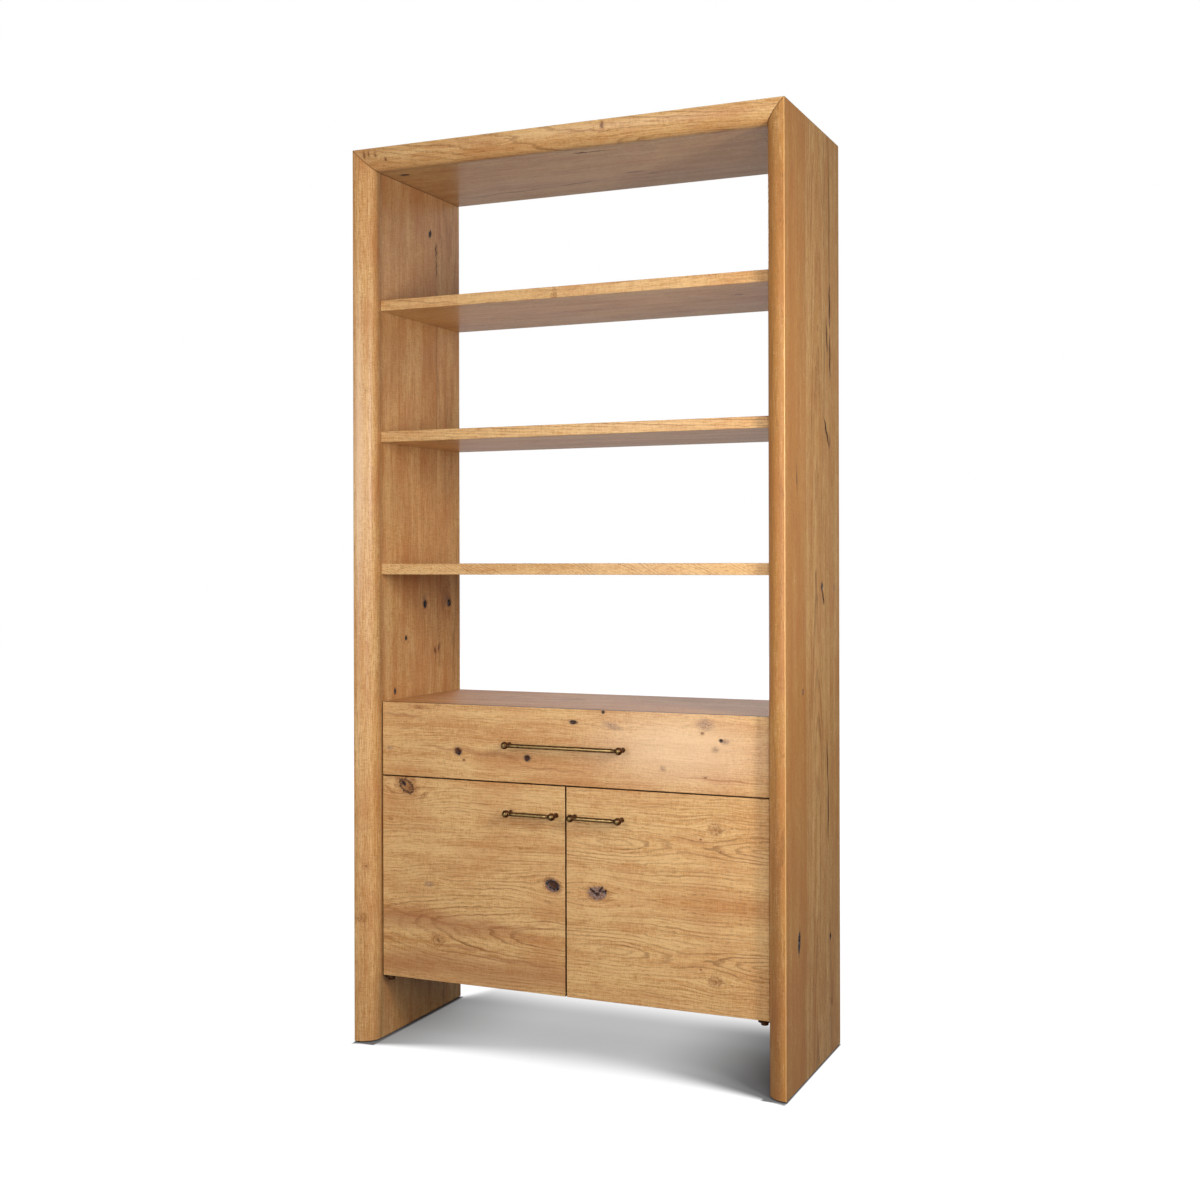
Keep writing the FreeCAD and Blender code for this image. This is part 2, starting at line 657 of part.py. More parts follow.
def pull_screws(make, centre_x, span, z, grip):
    """Machine screws of one pull, or their bores, seated grip behind the face."""
    feet = pull_posts(centre_x, span, z)
    return [make(PULL_SCREW, foot + Vector(0, grip, 0), Vector(0, -1, 0), grip) for foot in feet]


def door_pull_place(hand):
    """Where a door's pull is centred, its span and its height."""
    return hand * DOOR_PULL_X, DOOR_PULL_SPAN, DOOR_PULL_Z


def drawer_pull_place():
    """Where the drawer's pull is centred, its span and its height."""
    return 0.0, DRAWER_PULL_SPAN, DRAWER_PULL_Z


def strike_screw(hand, make):
    """Screw, or its bore, of one door's strike."""
    seat = Vector(hand * MAGNET_OFFSET, FRONTS_BACK + STRIKE_THICKNESS, STRIKE_Z)
    return make(STRIKE_SCREW, seat, Vector(0, -1, 0))


def strike_plate(hand):
    """Steel plate on a door's back, opposite its magnet."""
    x = hand * MAGNET_OFFSET
    plate = block(
        x - STRIKE_WIDTH / 2,
        x + STRIKE_WIDTH / 2,
        FRONTS_BACK,
        FRONTS_BACK + STRIKE_THICKNESS,
        STRIKE_Z - STRIKE_HEIGHT / 2,
        STRIKE_Z + STRIKE_HEIGHT / 2,
    )
    return plate.cut(strike_screw(hand, sunk_bore))


def door_panel(hand):
    """Flush door, with bores for its bushes, pull screws and strike."""
    slab = block(hand * CENTRE_GAP / 2, hand * FRONT_HALF, FACE_Y, FRONTS_BACK, DOOR_BOTTOM, DOOR_TOP)
    eased = round_edges(slab, BOARD_EASE, at_front(slab))
    tools = bush_holes(hand) + pull_screws(screw_bore, *door_pull_place(hand), FRONT)
    return cut_all(eased, [*tools, strike_screw(hand, screw_bore)])


def magnets(slack=0.0):
    """The two magnets of the catch, or with a slack their pockets."""
    half_width, half_height = MAGNET_WIDTH / 2 + slack, MAGNET_HEIGHT / 2 + slack
    return [
        block(
            hand * MAGNET_OFFSET - half_width,
            hand * MAGNET_OFFSET + half_width,
            CATCH_FRONT,
            CATCH_FRONT + MAGNET_DEPTH + slack,
            CATCH_Z - half_height,
            CATCH_Z + half_height,
        )
        for hand in HANDS.values()
    ]


def catch_housing():
    """Housing of the double catch, under the divider at the centre."""
    body = block(
        -CATCH_HALF_WIDTH,
        CATCH_HALF_WIDTH,
        CATCH_FRONT,
        CATCH_FRONT + CATCH_DEPTH,
        DIVIDER_BOTTOM - CATCH_HEIGHT,
        DIVIDER_BOTTOM,
    )
    return cut_all(body, magnets(GLUE_LINE) + catch_screws(screw_bore))


def slide_member(hand, web_at, lips_to, half_height):
    """Channel section of a slide, from its web to its lips, by distance inward from the side."""
    room = math.copysign(SLIDE_SHEET, lips_to - web_at)
    web_out = web_at + room
    outer = wall_block(hand, web_at, lips_to, SLIDE_Y0, SLIDE_Y1, SLIDE_Z - half_height, SLIDE_Z + half_height)
    inside = half_height - SLIDE_SHEET
    hollow = wall_block(hand, web_out, lips_to, SLIDE_Y0, SLIDE_Y1, SLIDE_Z - inside, SLIDE_Z + inside)
    return outer.cut(hollow)


def middle_half_height():
    """Half height of the middle member, which nests in the channel."""
    return SLIDE_HALF_HEIGHT - SLIDE_SHEET - RACE_GAP


def middle_web():
    """Distance inward from the side to the web of the middle member."""
    return SLIDE_SHEET + WEB_GAP


def slide_channel(hand):
    """Outer member, screwed to the side panel."""
    lips_to = SLIDE_WIDTH - SLIDE_SHEET - 2 * LIP_GAP
    member = slide_member(hand, 0, lips_to, SLIDE_HALF_HEIGHT)
    return cut_all(member, slide_screws(hand, screw_bore))


def slide_middle(hand):
    """Middle member, which runs out half as far as the drawer."""
    lips_to = SLIDE_WIDTH - SLIDE_SHEET - LIP_GAP
    return slide_member(hand, middle_web(), lips_to, middle_half_height())


def slide_runner(hand):
    """Inner member, screwed to the drawer side, with its lips towards the panel."""
    lips_to = middle_web() + SLIDE_SHEET + LIP_GAP
    half_height = middle_half_height() - SLIDE_SHEET - RACE_GAP
    member = slide_member(hand, SLIDE_WIDTH, lips_to, half_height)
    return cut_all(member, runner_screws(hand, screw_bore))


def bottom_sheet(slack=0.0):
    """Drawer bottom in its grooves, or with a slack the grooves themselves."""
    half = BOX_X - DRAWER_WALL + GROOVE_DEPTH - GROOVE_PLAY + slack
    reach = DRAWER_WALL - GROOVE_DEPTH + GROOVE_PLAY - slack
    low = BOX_BOTTOM + GROOVE_HEIGHT
    return block(
        -half,
        half,
        FRONTS_BACK + reach,
        SLIDE_Y1 - reach,
        low - slack,
        low + DRAWER_BOTTOM + slack,
    )


def drawer_side(hand):
    """Side wall of the drawer box, grooved for the bottom and bored for its runner."""
    wall = wall_block(hand, SLIDE_WIDTH, SLIDE_WIDTH + DRAWER_WALL, FRONTS_BACK, SLIDE_Y1, BOX_BOTTOM, BOX_TOP)
    return cut_all(wall, [bottom_sheet(GROOVE_PLAY), *runner_screws(hand, screw_bore)])


def drawer_end(y0):
    """Wall between the drawer's two sides, grooved for the bottom."""
    half = BOX_X - DRAWER_WALL
    wall = block(-half, half, y0, y0 + DRAWER_WALL, BOX_BOTTOM, BOX_TOP)
    return wall.cut(bottom_sheet(GROOVE_PLAY))


def front_screws(make):
    """Screws, or their bores, from inside the drawer box into the drawer front."""
    rises = (SLIDE_Z - DRAWER_WALL, SLIDE_Z + DRAWER_WALL)
    seats = [
        Vector(way * (BOX_X - INNER_X / 6), FRONTS_BACK + DRAWER_WALL, z) for way in (-1, 1) for z in rises
    ]
    return [make(FRONT_SCREW, seat, Vector(0, -1, 0), DRAWER_WALL) for seat in seats]


def drawer_inner_front():
    """Front wall of the drawer box, behind the drawer front."""
    bores = front_screws(screw_bore) + pull_screws(screw_bore, *drawer_pull_place(), FRONT + DRAWER_WALL)
    return cut_all(drawer_end(FRONTS_BACK), bores)


def drawer_front():
    """Visible front of the drawer, level with the cabinet's top."""
    slab = block(-FRONT_HALF, FRONT_HALF, FACE_Y, FRONTS_BACK, DRAWER_FRONT_BOTTOM, CABINET_LEVEL)
    eased = round_edges(slab, BOARD_EASE, at_front(slab))
    bores = front_screws(screw_bore) + pull_screws(screw_bore, *drawer_pull_place(), FRONT + DRAWER_WALL)
    return cut_all(eased, bores)


def carcass_parts():
    """Everything that stands still."""
    parts = {"top_panel": [top_panel()], "mitre_splines": [mitre_spline(hand) for hand in HANDS.values()]}
    parts |= {name: [cross_board(board)] for name, board in SHELVES.items()}
    parts["shelf_dowels"] = dowels(SHELVES.values())
    parts["cabinet_top"] = [cross_board(CARCASS["cabinet_top"])]
    parts["drawer_divider"] = [drawer_divider()]
    parts["cabinet_bottom"] = [cabinet_bottom()]
    parts["cabinet_dowels"] = dowels(CARCASS.values())
    parts["cabinet_back"] = [cabinet_back()]
    parts["cabinet_back_screws"] = [
        screw(BACK_SCREW, point, Vector(0, -1, 0), CABINET_BACK) for point in back_screw_points()
    ]
    parts["inner_shelf"] = [inner_shelf()]
    parts["inner_shelf_pins"] = shelf_pins()
    feet = [point for hand in HANDS.values() for point in glide_points(hand)]
    parts["floor_glides"] = [glide(point) for point in feet]
    parts["glide_nails"] = [nail(point) for point in feet]
    return parts


def hardware_parts():
    """Catch, pivots and slide channels, fixed to the carcass."""
    parts = {"catch_housing": [catch_housing()], "catch_magnets": magnets()}
    parts["catch_screws"] = catch_screws(screw)
    parts["lower_pivot_pins"] = [lower_pivot_pin(hand) for hand in HANDS.values()]
    parts["upper_pivot_pins"] = [upper_pivot_pin(hand) for hand in HANDS.values()]
    parts["pivot_plate_screws"] = pivot_screws(sunk_screw, LEG_HEIGHT - LOWER_PLATE, 1)
    parts["pivot_plate_screws"] += pivot_screws(sunk_screw, DIVIDER_BOTTOM - UPPER_PLATE, 1)
    parts["slide_channel_screws"] = []
    for name, hand in HANDS.items():
        parts[f"side_panel_{name}"] = [side_panel(hand)]
        parts[f"lower_pivot_plate_{name}"] = [lower_pivot_plate(hand)]
        parts[f"upper_pivot_plate_{name}"] = [upper_pivot_plate(hand)]
        parts[f"slide_channel_{name}"] = [slide_channel(hand)]
        parts["slide_channel_screws"] += slide_screws(hand, screw)
    return parts


def drawer_parts():
    """The drawer and the slide members that move with it."""
    parts = {"drawer_front": [drawer_front()], "drawer_inner_front": [drawer_inner_front()]}
    parts["drawer_back"] = [drawer_end(SLIDE_Y1 - DRAWER_WALL)]
    parts["drawer_bottom"] = [bottom_sheet()]
    parts["drawer_front_screws"] = front_screws(screw)
    parts["drawer_pull"] = [pull(*drawer_pull_place())]
    parts["drawer_pull_screws"] = pull_screws(screw, *drawer_pull_place(), FRONT + DRAWER_WALL)
    parts["slide_runner_screws"] = []
    for name, hand in HANDS.items():
        parts[f"drawer_side_{name}"] = [drawer_side(hand)]
        parts[f"slide_middle_{name}"] = [slide_middle(hand)]
        parts[f"slide_runner_{name}"] = [slide_runner(hand)]
        parts["slide_runner_screws"] += runner_screws(hand, screw)
    return parts


def door_parts(name, hand):
    """One door with its pull, bushes and strike."""
    return {
        f"door_{name}": [door_panel(hand)],
        f"door_bushes_{name}": door_bushes(hand),
        f"door_pull_{name}": [pull(*door_pull_place(hand))],
        f"door_pull_screws_{name}": pull_screws(screw, *door_pull_place(hand), FRONT),
        f"strike_plate_{name}": [strike_plate(hand)],
        f"strike_screw_{name}": [strike_screw(hand, sunk_screw)],
    }


def main():
    """Write every piece to its own file."""
    os.makedirs("parts", exist_ok=True)
    parts = carcass_parts() | hardware_parts() | drawer_parts()
    for name, hand in HANDS.items():
        parts |= door_parts(name, hand)
    for name, solids in parts.items():
        shape = solids[0] if len(solids) == 1 else Part.makeCompound(solids)
        shape.exportStep(f"parts/{name}.step")
    print(len(parts), "pieces or sets of pieces, height", HEIGHT, "mm")


main()
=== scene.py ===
"""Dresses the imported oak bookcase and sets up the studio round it.

The boards get their figure, knots and cracks, the pulls their turned shape and brass, and the hardware its
finishes. Lengths are millimetres in the row frame unless a name says otherwise. They become metres where a
mesh or a node is made.
"""
import json
import logging
import math
import random
from dataclasses import dataclass
from enum import Enum
from typing import Callable, Dict, Iterable, List, Optional, Sequence, Tuple, Union

import bmesh
import bpy
from mathutils import Matrix, Vector


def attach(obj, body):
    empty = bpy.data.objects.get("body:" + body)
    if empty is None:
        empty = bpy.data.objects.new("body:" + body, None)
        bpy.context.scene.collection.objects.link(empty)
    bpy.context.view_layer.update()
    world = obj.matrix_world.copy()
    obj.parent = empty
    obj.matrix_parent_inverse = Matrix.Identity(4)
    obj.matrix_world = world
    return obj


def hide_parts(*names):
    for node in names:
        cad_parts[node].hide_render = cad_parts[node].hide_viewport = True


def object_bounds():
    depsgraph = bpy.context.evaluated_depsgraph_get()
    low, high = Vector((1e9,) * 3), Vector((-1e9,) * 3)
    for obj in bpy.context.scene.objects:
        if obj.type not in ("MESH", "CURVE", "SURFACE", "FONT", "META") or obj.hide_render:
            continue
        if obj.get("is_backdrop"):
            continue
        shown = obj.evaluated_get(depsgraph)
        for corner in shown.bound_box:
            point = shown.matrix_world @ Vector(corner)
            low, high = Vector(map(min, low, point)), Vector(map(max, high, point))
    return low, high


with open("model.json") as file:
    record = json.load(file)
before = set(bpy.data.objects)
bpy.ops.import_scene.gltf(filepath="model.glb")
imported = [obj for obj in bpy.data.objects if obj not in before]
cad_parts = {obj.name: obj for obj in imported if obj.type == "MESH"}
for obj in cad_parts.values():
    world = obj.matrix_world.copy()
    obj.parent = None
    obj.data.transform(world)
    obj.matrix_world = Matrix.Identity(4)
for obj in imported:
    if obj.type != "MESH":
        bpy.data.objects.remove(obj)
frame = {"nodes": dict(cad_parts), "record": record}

LOG = logging.getLogger("bookcase")
EASE_STEPS = 4
MM = 0.001

# Surround of two sides and a top, as the CAD gives it
OUTER_X = 562.0
PANEL = 51.0
INNER_X = OUTER_X - PANEL
DEPTH = 460.0
FRONT_Y = -DEPTH / 2
HEIGHT = 2235.0
ARRIS_ROUND = 3.0
EDGE_ROUND = 48.0
GLIDE = 3.0

# Shelves and cabinet, where a level is the height of an upper face
SHELF = 27.0
SHELF_FRONT = -180.0
BOARD_BACK = 226.0
UPPER_LEVEL = 1863.0
MIDDLE_LEVEL = 1532.0
LOWER_LEVEL = 1198.5
CABINET_LEVEL = 851.0
CABINET_FRONT = -158.7
CABINET_UNDERSIDE = 161.0
PLY_FRONT = 220.0
RABBET = 10.0
PIN_COLUMNS = (-79.5, 169.5)
PIN_ROWS = tuple(414.9 + 32.0 * step for step in range(-2, 3))
PIN_HOLE_RADIUS = 2.6
PIN_HOLE_DEPTH = 11.0

# Drawer front and doors
FACE_Y = -179.5
FRONT_THICKNESS = 20.0
FRONTS_BACK = FACE_Y + FRONT_THICKNESS
FRONT_HALF = 507.732
DOOR_GAP = 2.0
DOOR_BOTTOM = 162.0
DOOR_TOP = 664.5
DRAWER_GAP = 3.0
PIVOT_X = 491.732
PIVOT_Y = FACE_Y + FRONT_THICKNESS / 2
BUSH_RADIUS = 6.0
BUSH_HOLE = 17.0

# Pulls
BAR_REACH = 27.0
BAR_Y = FACE_Y - BAR_REACH
BALL_RADIUS = 9.2
BAR_RADIUS = 5.0
NECK_RADIUS = 4.0
NECK_LENGTH = 20.0
POST_RADIUS = 4.0
COLLAR_RADIUS = 6.0
COLLAR_HEIGHT = 3.0
COLLAR_EDGE = 0.6

HANDS = {"left": -1, "right": 1}

WHITE = (1.0, 1.0, 1.0, 1.0)
DIRECT_RAYS = ("Is Camera Ray", "Is Transmission Ray")

Span = Tuple[float, float]
Triple = Tuple[float, float, float]
Colour = Tuple[float, float, float, float]
Outline = List[Tuple[float, float]]


def shown(red: int, green: int, blue: int) -> Colour:
    """Linear colour that shows as these display values.

    Args:
        red: Red, 0 to 255.
        green: Green, 0 to 255.
        blue: Blue, 0 to 255.

    Returns:
        The colour with an alpha of 1.
    """
    shares = [value / 255 for value in (red, green, blue)]
    linear = [s / 12.92 if s <= 0.04045 else ((s + 0.055) / 1.055) ** 2.4 for s in shares]
    return (linear[0], linear[1], linear[2], 1.0)


class Signal:
    """One output of a shader node, so that shader maths reads as Python maths."""

    def __init__(self, shader: "Shader", socket: bpy.types.NodeSocket) -> None:
        """Keeps the socket and the shader that it belongs to."""
        self.shader = shader
        self.socket = socket

    def _join(self, operation: str, first: "Operand", second: "Operand" = 0.0) -> "Signal":
        """Adds the node of one operation.

        Args:
            operation: Name of the Math or Vector Math operation.
            first: Left side of the expression.
            second: Right side of the expression.

        Returns:
            The operation's result.
        """
        kind = "ShaderNodeMath" if self.socket.type == "VALUE" else "ShaderNodeVectorMath"
        return self.shader.node(kind, {"operation": operation}, {0: first, 1: second})

    def __add__(self, other: "Operand") -> "Signal":
        """Sum."""
        return self._join("ADD", self, other)

    def __radd__(self, other: "Operand") -> "Signal":
        """Sum with a number on the left."""
        return self._join("ADD", other, self)

    def __sub__(self, other: "Operand") -> "Signal":
        """Difference."""
        return self._join("SUBTRACT", self, other)

    def __rsub__(self, other: "Operand") -> "Signal":
        """Difference from a number."""
        return self._join("SUBTRACT", other, self)

    def __mul__(self, other: "Operand") -> "Signal":
        """Product."""
        return self._join("MULTIPLY", self, other)

    def __rmul__(self, other: "Operand") -> "Signal":
        """Product with a number on the left."""
        return self._join("MULTIPLY", other, self)

    def __truediv__(self, other: "Operand") -> "Signal":
        """Quotient."""
        return self._join("DIVIDE", self, other)

    def __rtruediv__(self, other: "Operand") -> "Signal":
        """Number divided by the signal."""
        return self._join("DIVIDE", other, self)

    def __neg__(self) -> "Signal":
        """Negative."""
        return self * -1.0

    def __abs__(self) -> "Signal":
        """Size without sign."""
        return self._join("ABSOLUTE", self)

    def squared(self) -> "Signal":
        """Product with itself."""
        return self * self

    def root(self) -> "Signal":
        """Square root."""
        return self._join("SQRT", self)

    def fading(self) -> "Signal":
        """1 at 0, falling off to 0 as e to minus the signal."""
        return self._join("EXPONENT", -self)

    def sine(self) -> "Signal":
        """Sine of the signal in radians."""
        return self._join("SINE", self)

    def fraction(self) -> "Signal":
        """What is left above the whole number below."""
        return self._join("FRACT", self)

    def whole(self) -> "Signal":
        """Whole number below."""
        return self._join("FLOOR", self)

    def above(self, other: "Operand") -> "Signal":
        """1 where the signal is above the other, 0 elsewhere."""
        return self._join("GREATER_THAN", self, other)

    def greater(self, other: "Operand") -> "Signal":
        """Larger of the two."""
        return self._join("MAXIMUM", self, other)

    def lesser(self, other: "Operand") -> "Signal":
        """Smaller of the two."""
        return self._join("MINIMUM", self, other)

    def ramp(self, start: float, end: float) -> "Signal":
        """Smooth change from 0 at start to 1 at end.

        Args:
            start: Value that gives 0.
            end: Value that gives 1, above start or below it.

        Returns:
            A value from 0 to 1.
        """
        inputs = {"Value": self, "From Min": start, "From Max": end}
        return self.shader.node("ShaderNodeMapRange", {"interpolation_type": "SMOOTHSTEP"}, inputs)


Operand = Union[Signal, float, int, Tuple[float, ...]]
Spot = Tuple[Signal, Signal, Signal]


@dataclass(frozen=True)
class Pattern:
    """A smooth random pattern: its grain's size along three axes, its seed and its count of finer layers."""

    grain: Triple
    seed: float = 0.0
    detail: float = 2.0


SPLIT = "ShaderNodeSeparateXYZ"


class Shader:
    """The node tree of one material or world."""

    def __init__(self, owner: Union[bpy.types.Material, bpy.types.World]) -> None:
        """Starts an empty tree.

        Args:
            owner: The material or world that holds the tree.
        """
        self.owner = owner
        owner.use_nodes = True
        self.tree = owner.node_tree
        self.tree.nodes.clear()

    def add(
        self,
        kind: str,
        settings: Optional[Dict[str, object]] = None,
        inputs: Optional[Dict[Union[int, str], Operand]] = None,
    ) -> bpy.types.Node:
        """Adds a node.

        Args:
            kind: The node's Blender type.
            settings: Its properties, which are set first.
            inputs: Values or links for its input sockets, by name or number.

        Returns:
            The node.
        """
        made = self.tree.nodes.new(kind)
        for name, value in (settings or {}).items():
            setattr(made, name, value)
        for key, value in (inputs or {}).items():
            if isinstance(value, Signal):
                self.tree.links.new(value.socket, made.inputs[key])
            else:
                made.inputs[key].default_value = value
        return made

    def node(
        self,
        kind: str,
        settings: Optional[Dict[str, object]] = None,
        inputs: Optional[Dict[Union[int, str], Operand]] = None,
        output: Union[int, str] = 0,
    ) -> Signal:
        """Adds a node, as add does, and gives one of its outputs."""
        return Signal(self, self.add(kind, settings, inputs).outputs[output])

    def number(self, value: float) -> Signal:
        """Adds a number that doesn't vary.

        Args:
            value: The number.

        Returns:
            The number's signal.
        """
        output = self.add("ShaderNodeValue").outputs[0]
        output.default_value = value
        return Signal(self, output)

    def place(self) -> Spot:
        """Row-frame X, Y and Z of the surface at rest, in millimetres."""
        point = self.node("ShaderNodeTexCoord", output="Object")
        return tuple(Signal(self, socket) / MM for socket in self.add(SPLIT, inputs={0: point}).outputs)

    def noise(self, spot: Spot, pattern: Pattern, seed: float = 0.0) -> Signal:
        """Smooth random value about 0, mostly from -0.3 to 0.3.

        Args:
            spot: Three coordinates.
            pattern: The pattern.
            seed: Seed of the piece, which is added to the pattern's own.

        Returns:
            The noise at the spot.
        """
        moved = (where / size + (seed + pattern.seed) for where, size in zip(spot, pattern.grain))
        vector = self.node("ShaderNodeCombineXYZ", inputs=dict(enumerate(moved)))
        inputs = {"Vector": vector, "Scale": 1.0, "Detail": pattern.detail}
        return self.node("ShaderNodeTexNoise", {}, inputs) - 0.5

    def mix(self, amount: Operand, first: Operand, second: Operand) -> Signal:
        """Colour that goes from first to second.

        Args:
            amount: 0 for first, 1 for second.
            first: Colour at 0.
            second: Colour at 1.

        Returns:
            The mixed colour.
        """
        settings = {"data_type": "RGBA", "clamp_factor": True}
        return self.node("ShaderNodeMix", settings, {0: amount, 6: first, 7: second}, output=2)

    def relief(self, height: Signal, depth: float) -> Signal:
        """Normal of a surface whose height goes from 0 to 1 over that depth."""
        return self.node("ShaderNodeBump", {}, {"Height": height, "Distance": depth * MM, "Strength": 1.0})

    def white_where_seen(self, light: Signal, rays: bpy.types.Node) -> Signal:
        """Strength that is 1 for the camera and through glass, and that of the light for other rays.

        Args:
            light: Strength for the other rays.
            rays: The Light Path node.

        Returns:
            The strength.
        """
        for name in DIRECT_RAYS:
            light = light.greater(Signal(self, rays.outputs[name]))
        return light

    def principled(self, inputs: Dict[str, Operand]) -> None:
        """Closes a material's tree with a Principled surface of those inputs."""
        surface = self.node("ShaderNodeBsdfPrincipled", {}, inputs)
        self.add("ShaderNodeOutputMaterial", {}, {"Surface": surface})


def new_shader(name: str) -> Shader:
    """Shader of a new material of that name."""
    return Shader(bpy.data.materials.new(name))


class Grain(Enum):
    """Which way a board's grain runs: the axes along it, across it and through the board."""

    UPRIGHT_SIDE = (2, 1, 0)
    UPRIGHT_BACK = (2, 0, 1)
    LEVEL_SHELF = (0, 1, 2)
    LEVEL_FRONT = (0, 2, 1)
    DRAWER_SIDE = (1, 2, 0)

    def sort(self, spot: Sequence) -> Tuple:
        """Row-frame x, y, z put in the order along, across, through."""
        return tuple(spot[axis] for axis in self.value)

    def point(self, along: float, across: float, through: float) -> Vector:
        """Row-frame point, in millimetres, of a place on the board."""
        by_axis = dict(zip(self.value, (along, across, through)))
        return Vector((by_axis[0], by_axis[1], by_axis[2]))


class KnotKind(Enum):
    """What a knot, or a broad patch of painted sheen or painted shade, looks like, in the order of drawing.
    """

    # The broad pale patch is painted sheen, the broad brown one painted shade.
    PAINTED_SHEEN = "a broad pale patch with no edge"
    PAINTED_SHADE = "a broad brown patch with no edge"
    SMUDGE = "grey and faint"
    SOUND = "faint rings in sound wood"
    RING = "a dark ring round sound wood"
    BARK = "grey-brown bark"
    PIN = "small and dark"
    HOLE = "a hole, black inside"


class LineKind(Enum):
    """What a line along the grain looks like."""

    CHECK = "an open crack, dark inside"
    STREAK = "a reddish stain"
    SHADE = "a faint grey line"


@dataclass(frozen=True)
class Knot:
    """One knot on a board's shown face.

    Its place is along and across the grain. A plain knot isn't repeated where the figure is mirrored.
    """

    along: float
    across: float
    radius: float
    kind: KnotKind = KnotKind.SOUND
    stretch: float = 1.3
    lean: float = 0.0
    parting: float = 0.7
    through: Optional[float] = None
    plain: bool = False


@dataclass(frozen=True)
class Line:
    """One crack or streak, from start to end, each given along and across the grain."""

    start: Tuple[float, float]
    end: Tuple[float, float]
    width: float
    kind: LineKind = LineKind.CHECK
    wander: float = 1.2
    cut: float = 0.0

    WAVES = 2.5

    def phase(self) -> float:
        """Where its wander starts, which differs from line to line."""
        return self.start[0] * 0.7

    def across_at(self, share: float) -> float:
        """Position across the grain at a share of the line's length."""
        straight = self.start[1] + (self.end[1] - self.start[1]) * share
        return straight + self.wander * math.sin(share * self.WAVES * math.tau + self.phase())

    def width_at(self, share: float) -> float:
        """Width at a share of the line's length."""
        return self.width * 4 * share * (1 - share)


@dataclass(frozen=True)
class Face:
    """The face of a board that its knots and cracks are seen on."""

    plane: float
    outward: int


@dataclass(frozen=True)
class Seam:
    """A glued joint of a board, and the tone of the plank beyond it."""

    across: float
    deep: float
    warm: float


@dataclass(frozen=True)
class Figure:
    """How the growth rings of one board run.

    The rings are circles about the tree's heart, which lies at a place across and through the board.
    The heart climbs nearer to the face along the board by its taper, and swells away from it at one spot.
    Tone is from 0 to 1: deep goes from the light colour to the deep one, and warm adds red.
    """

    heart_across: float
    heart_through: float
    taper: float = 0.02
    taper_from: float = 0.0
    swell: float = 0.0
    swell_at: float = 0.0
    swell_reach: float = 120.0
    spacing: float = 8.0
    sway: float = 34.0
    sway_length: float = 520.0
    sway_width: float = 150.0
    contrast: float = 1.0
    deep: float = 0.4
    warm: float = 0.3
    mirror: Optional[float] = None
    seams: Tuple[Seam, ...] = ()
    seed: float = 0.0


class OakTone:
    """Colours of the oiled oak."""

    LIGHT = shown(222, 179, 122)
    DEEP = shown(186, 130, 66)
    WARM = shown(182, 115, 62)
    # Painted sheen.
    PAINTED_SHEEN = shown(236, 202, 164)
    LINE = shown(138, 90, 46)
    PORE = shown(108, 70, 38)
    HALO = shown(150, 94, 50)
    KNOT = shown(112, 68, 40)
    KNOT_RING = shown(172, 120, 68)
    BLACK = shown(22, 18, 20)
    BARK = shown(106, 68, 50)
    # Grey of bark, and painted glints inside knot holes.
    ASH_AND_GLINT = shown(138, 126, 128)
    SMUDGE = shown(140, 106, 86)
    STREAK = shown(156, 94, 54)
    SHADE = shown(112, 88, 66)
    # Painted highlight on the outer arris.
    PAINTED_ARRIS_HIGHLIGHT = shown(232, 190, 126)
    # Painted shade on edges behind a face and on the round's inner edge.
    EDGE = shown(74, 42, 22)
    # Painted shade on inner faces towards the top.
    PAINTED_TOP_SHADE = shown(80, 72, 70)


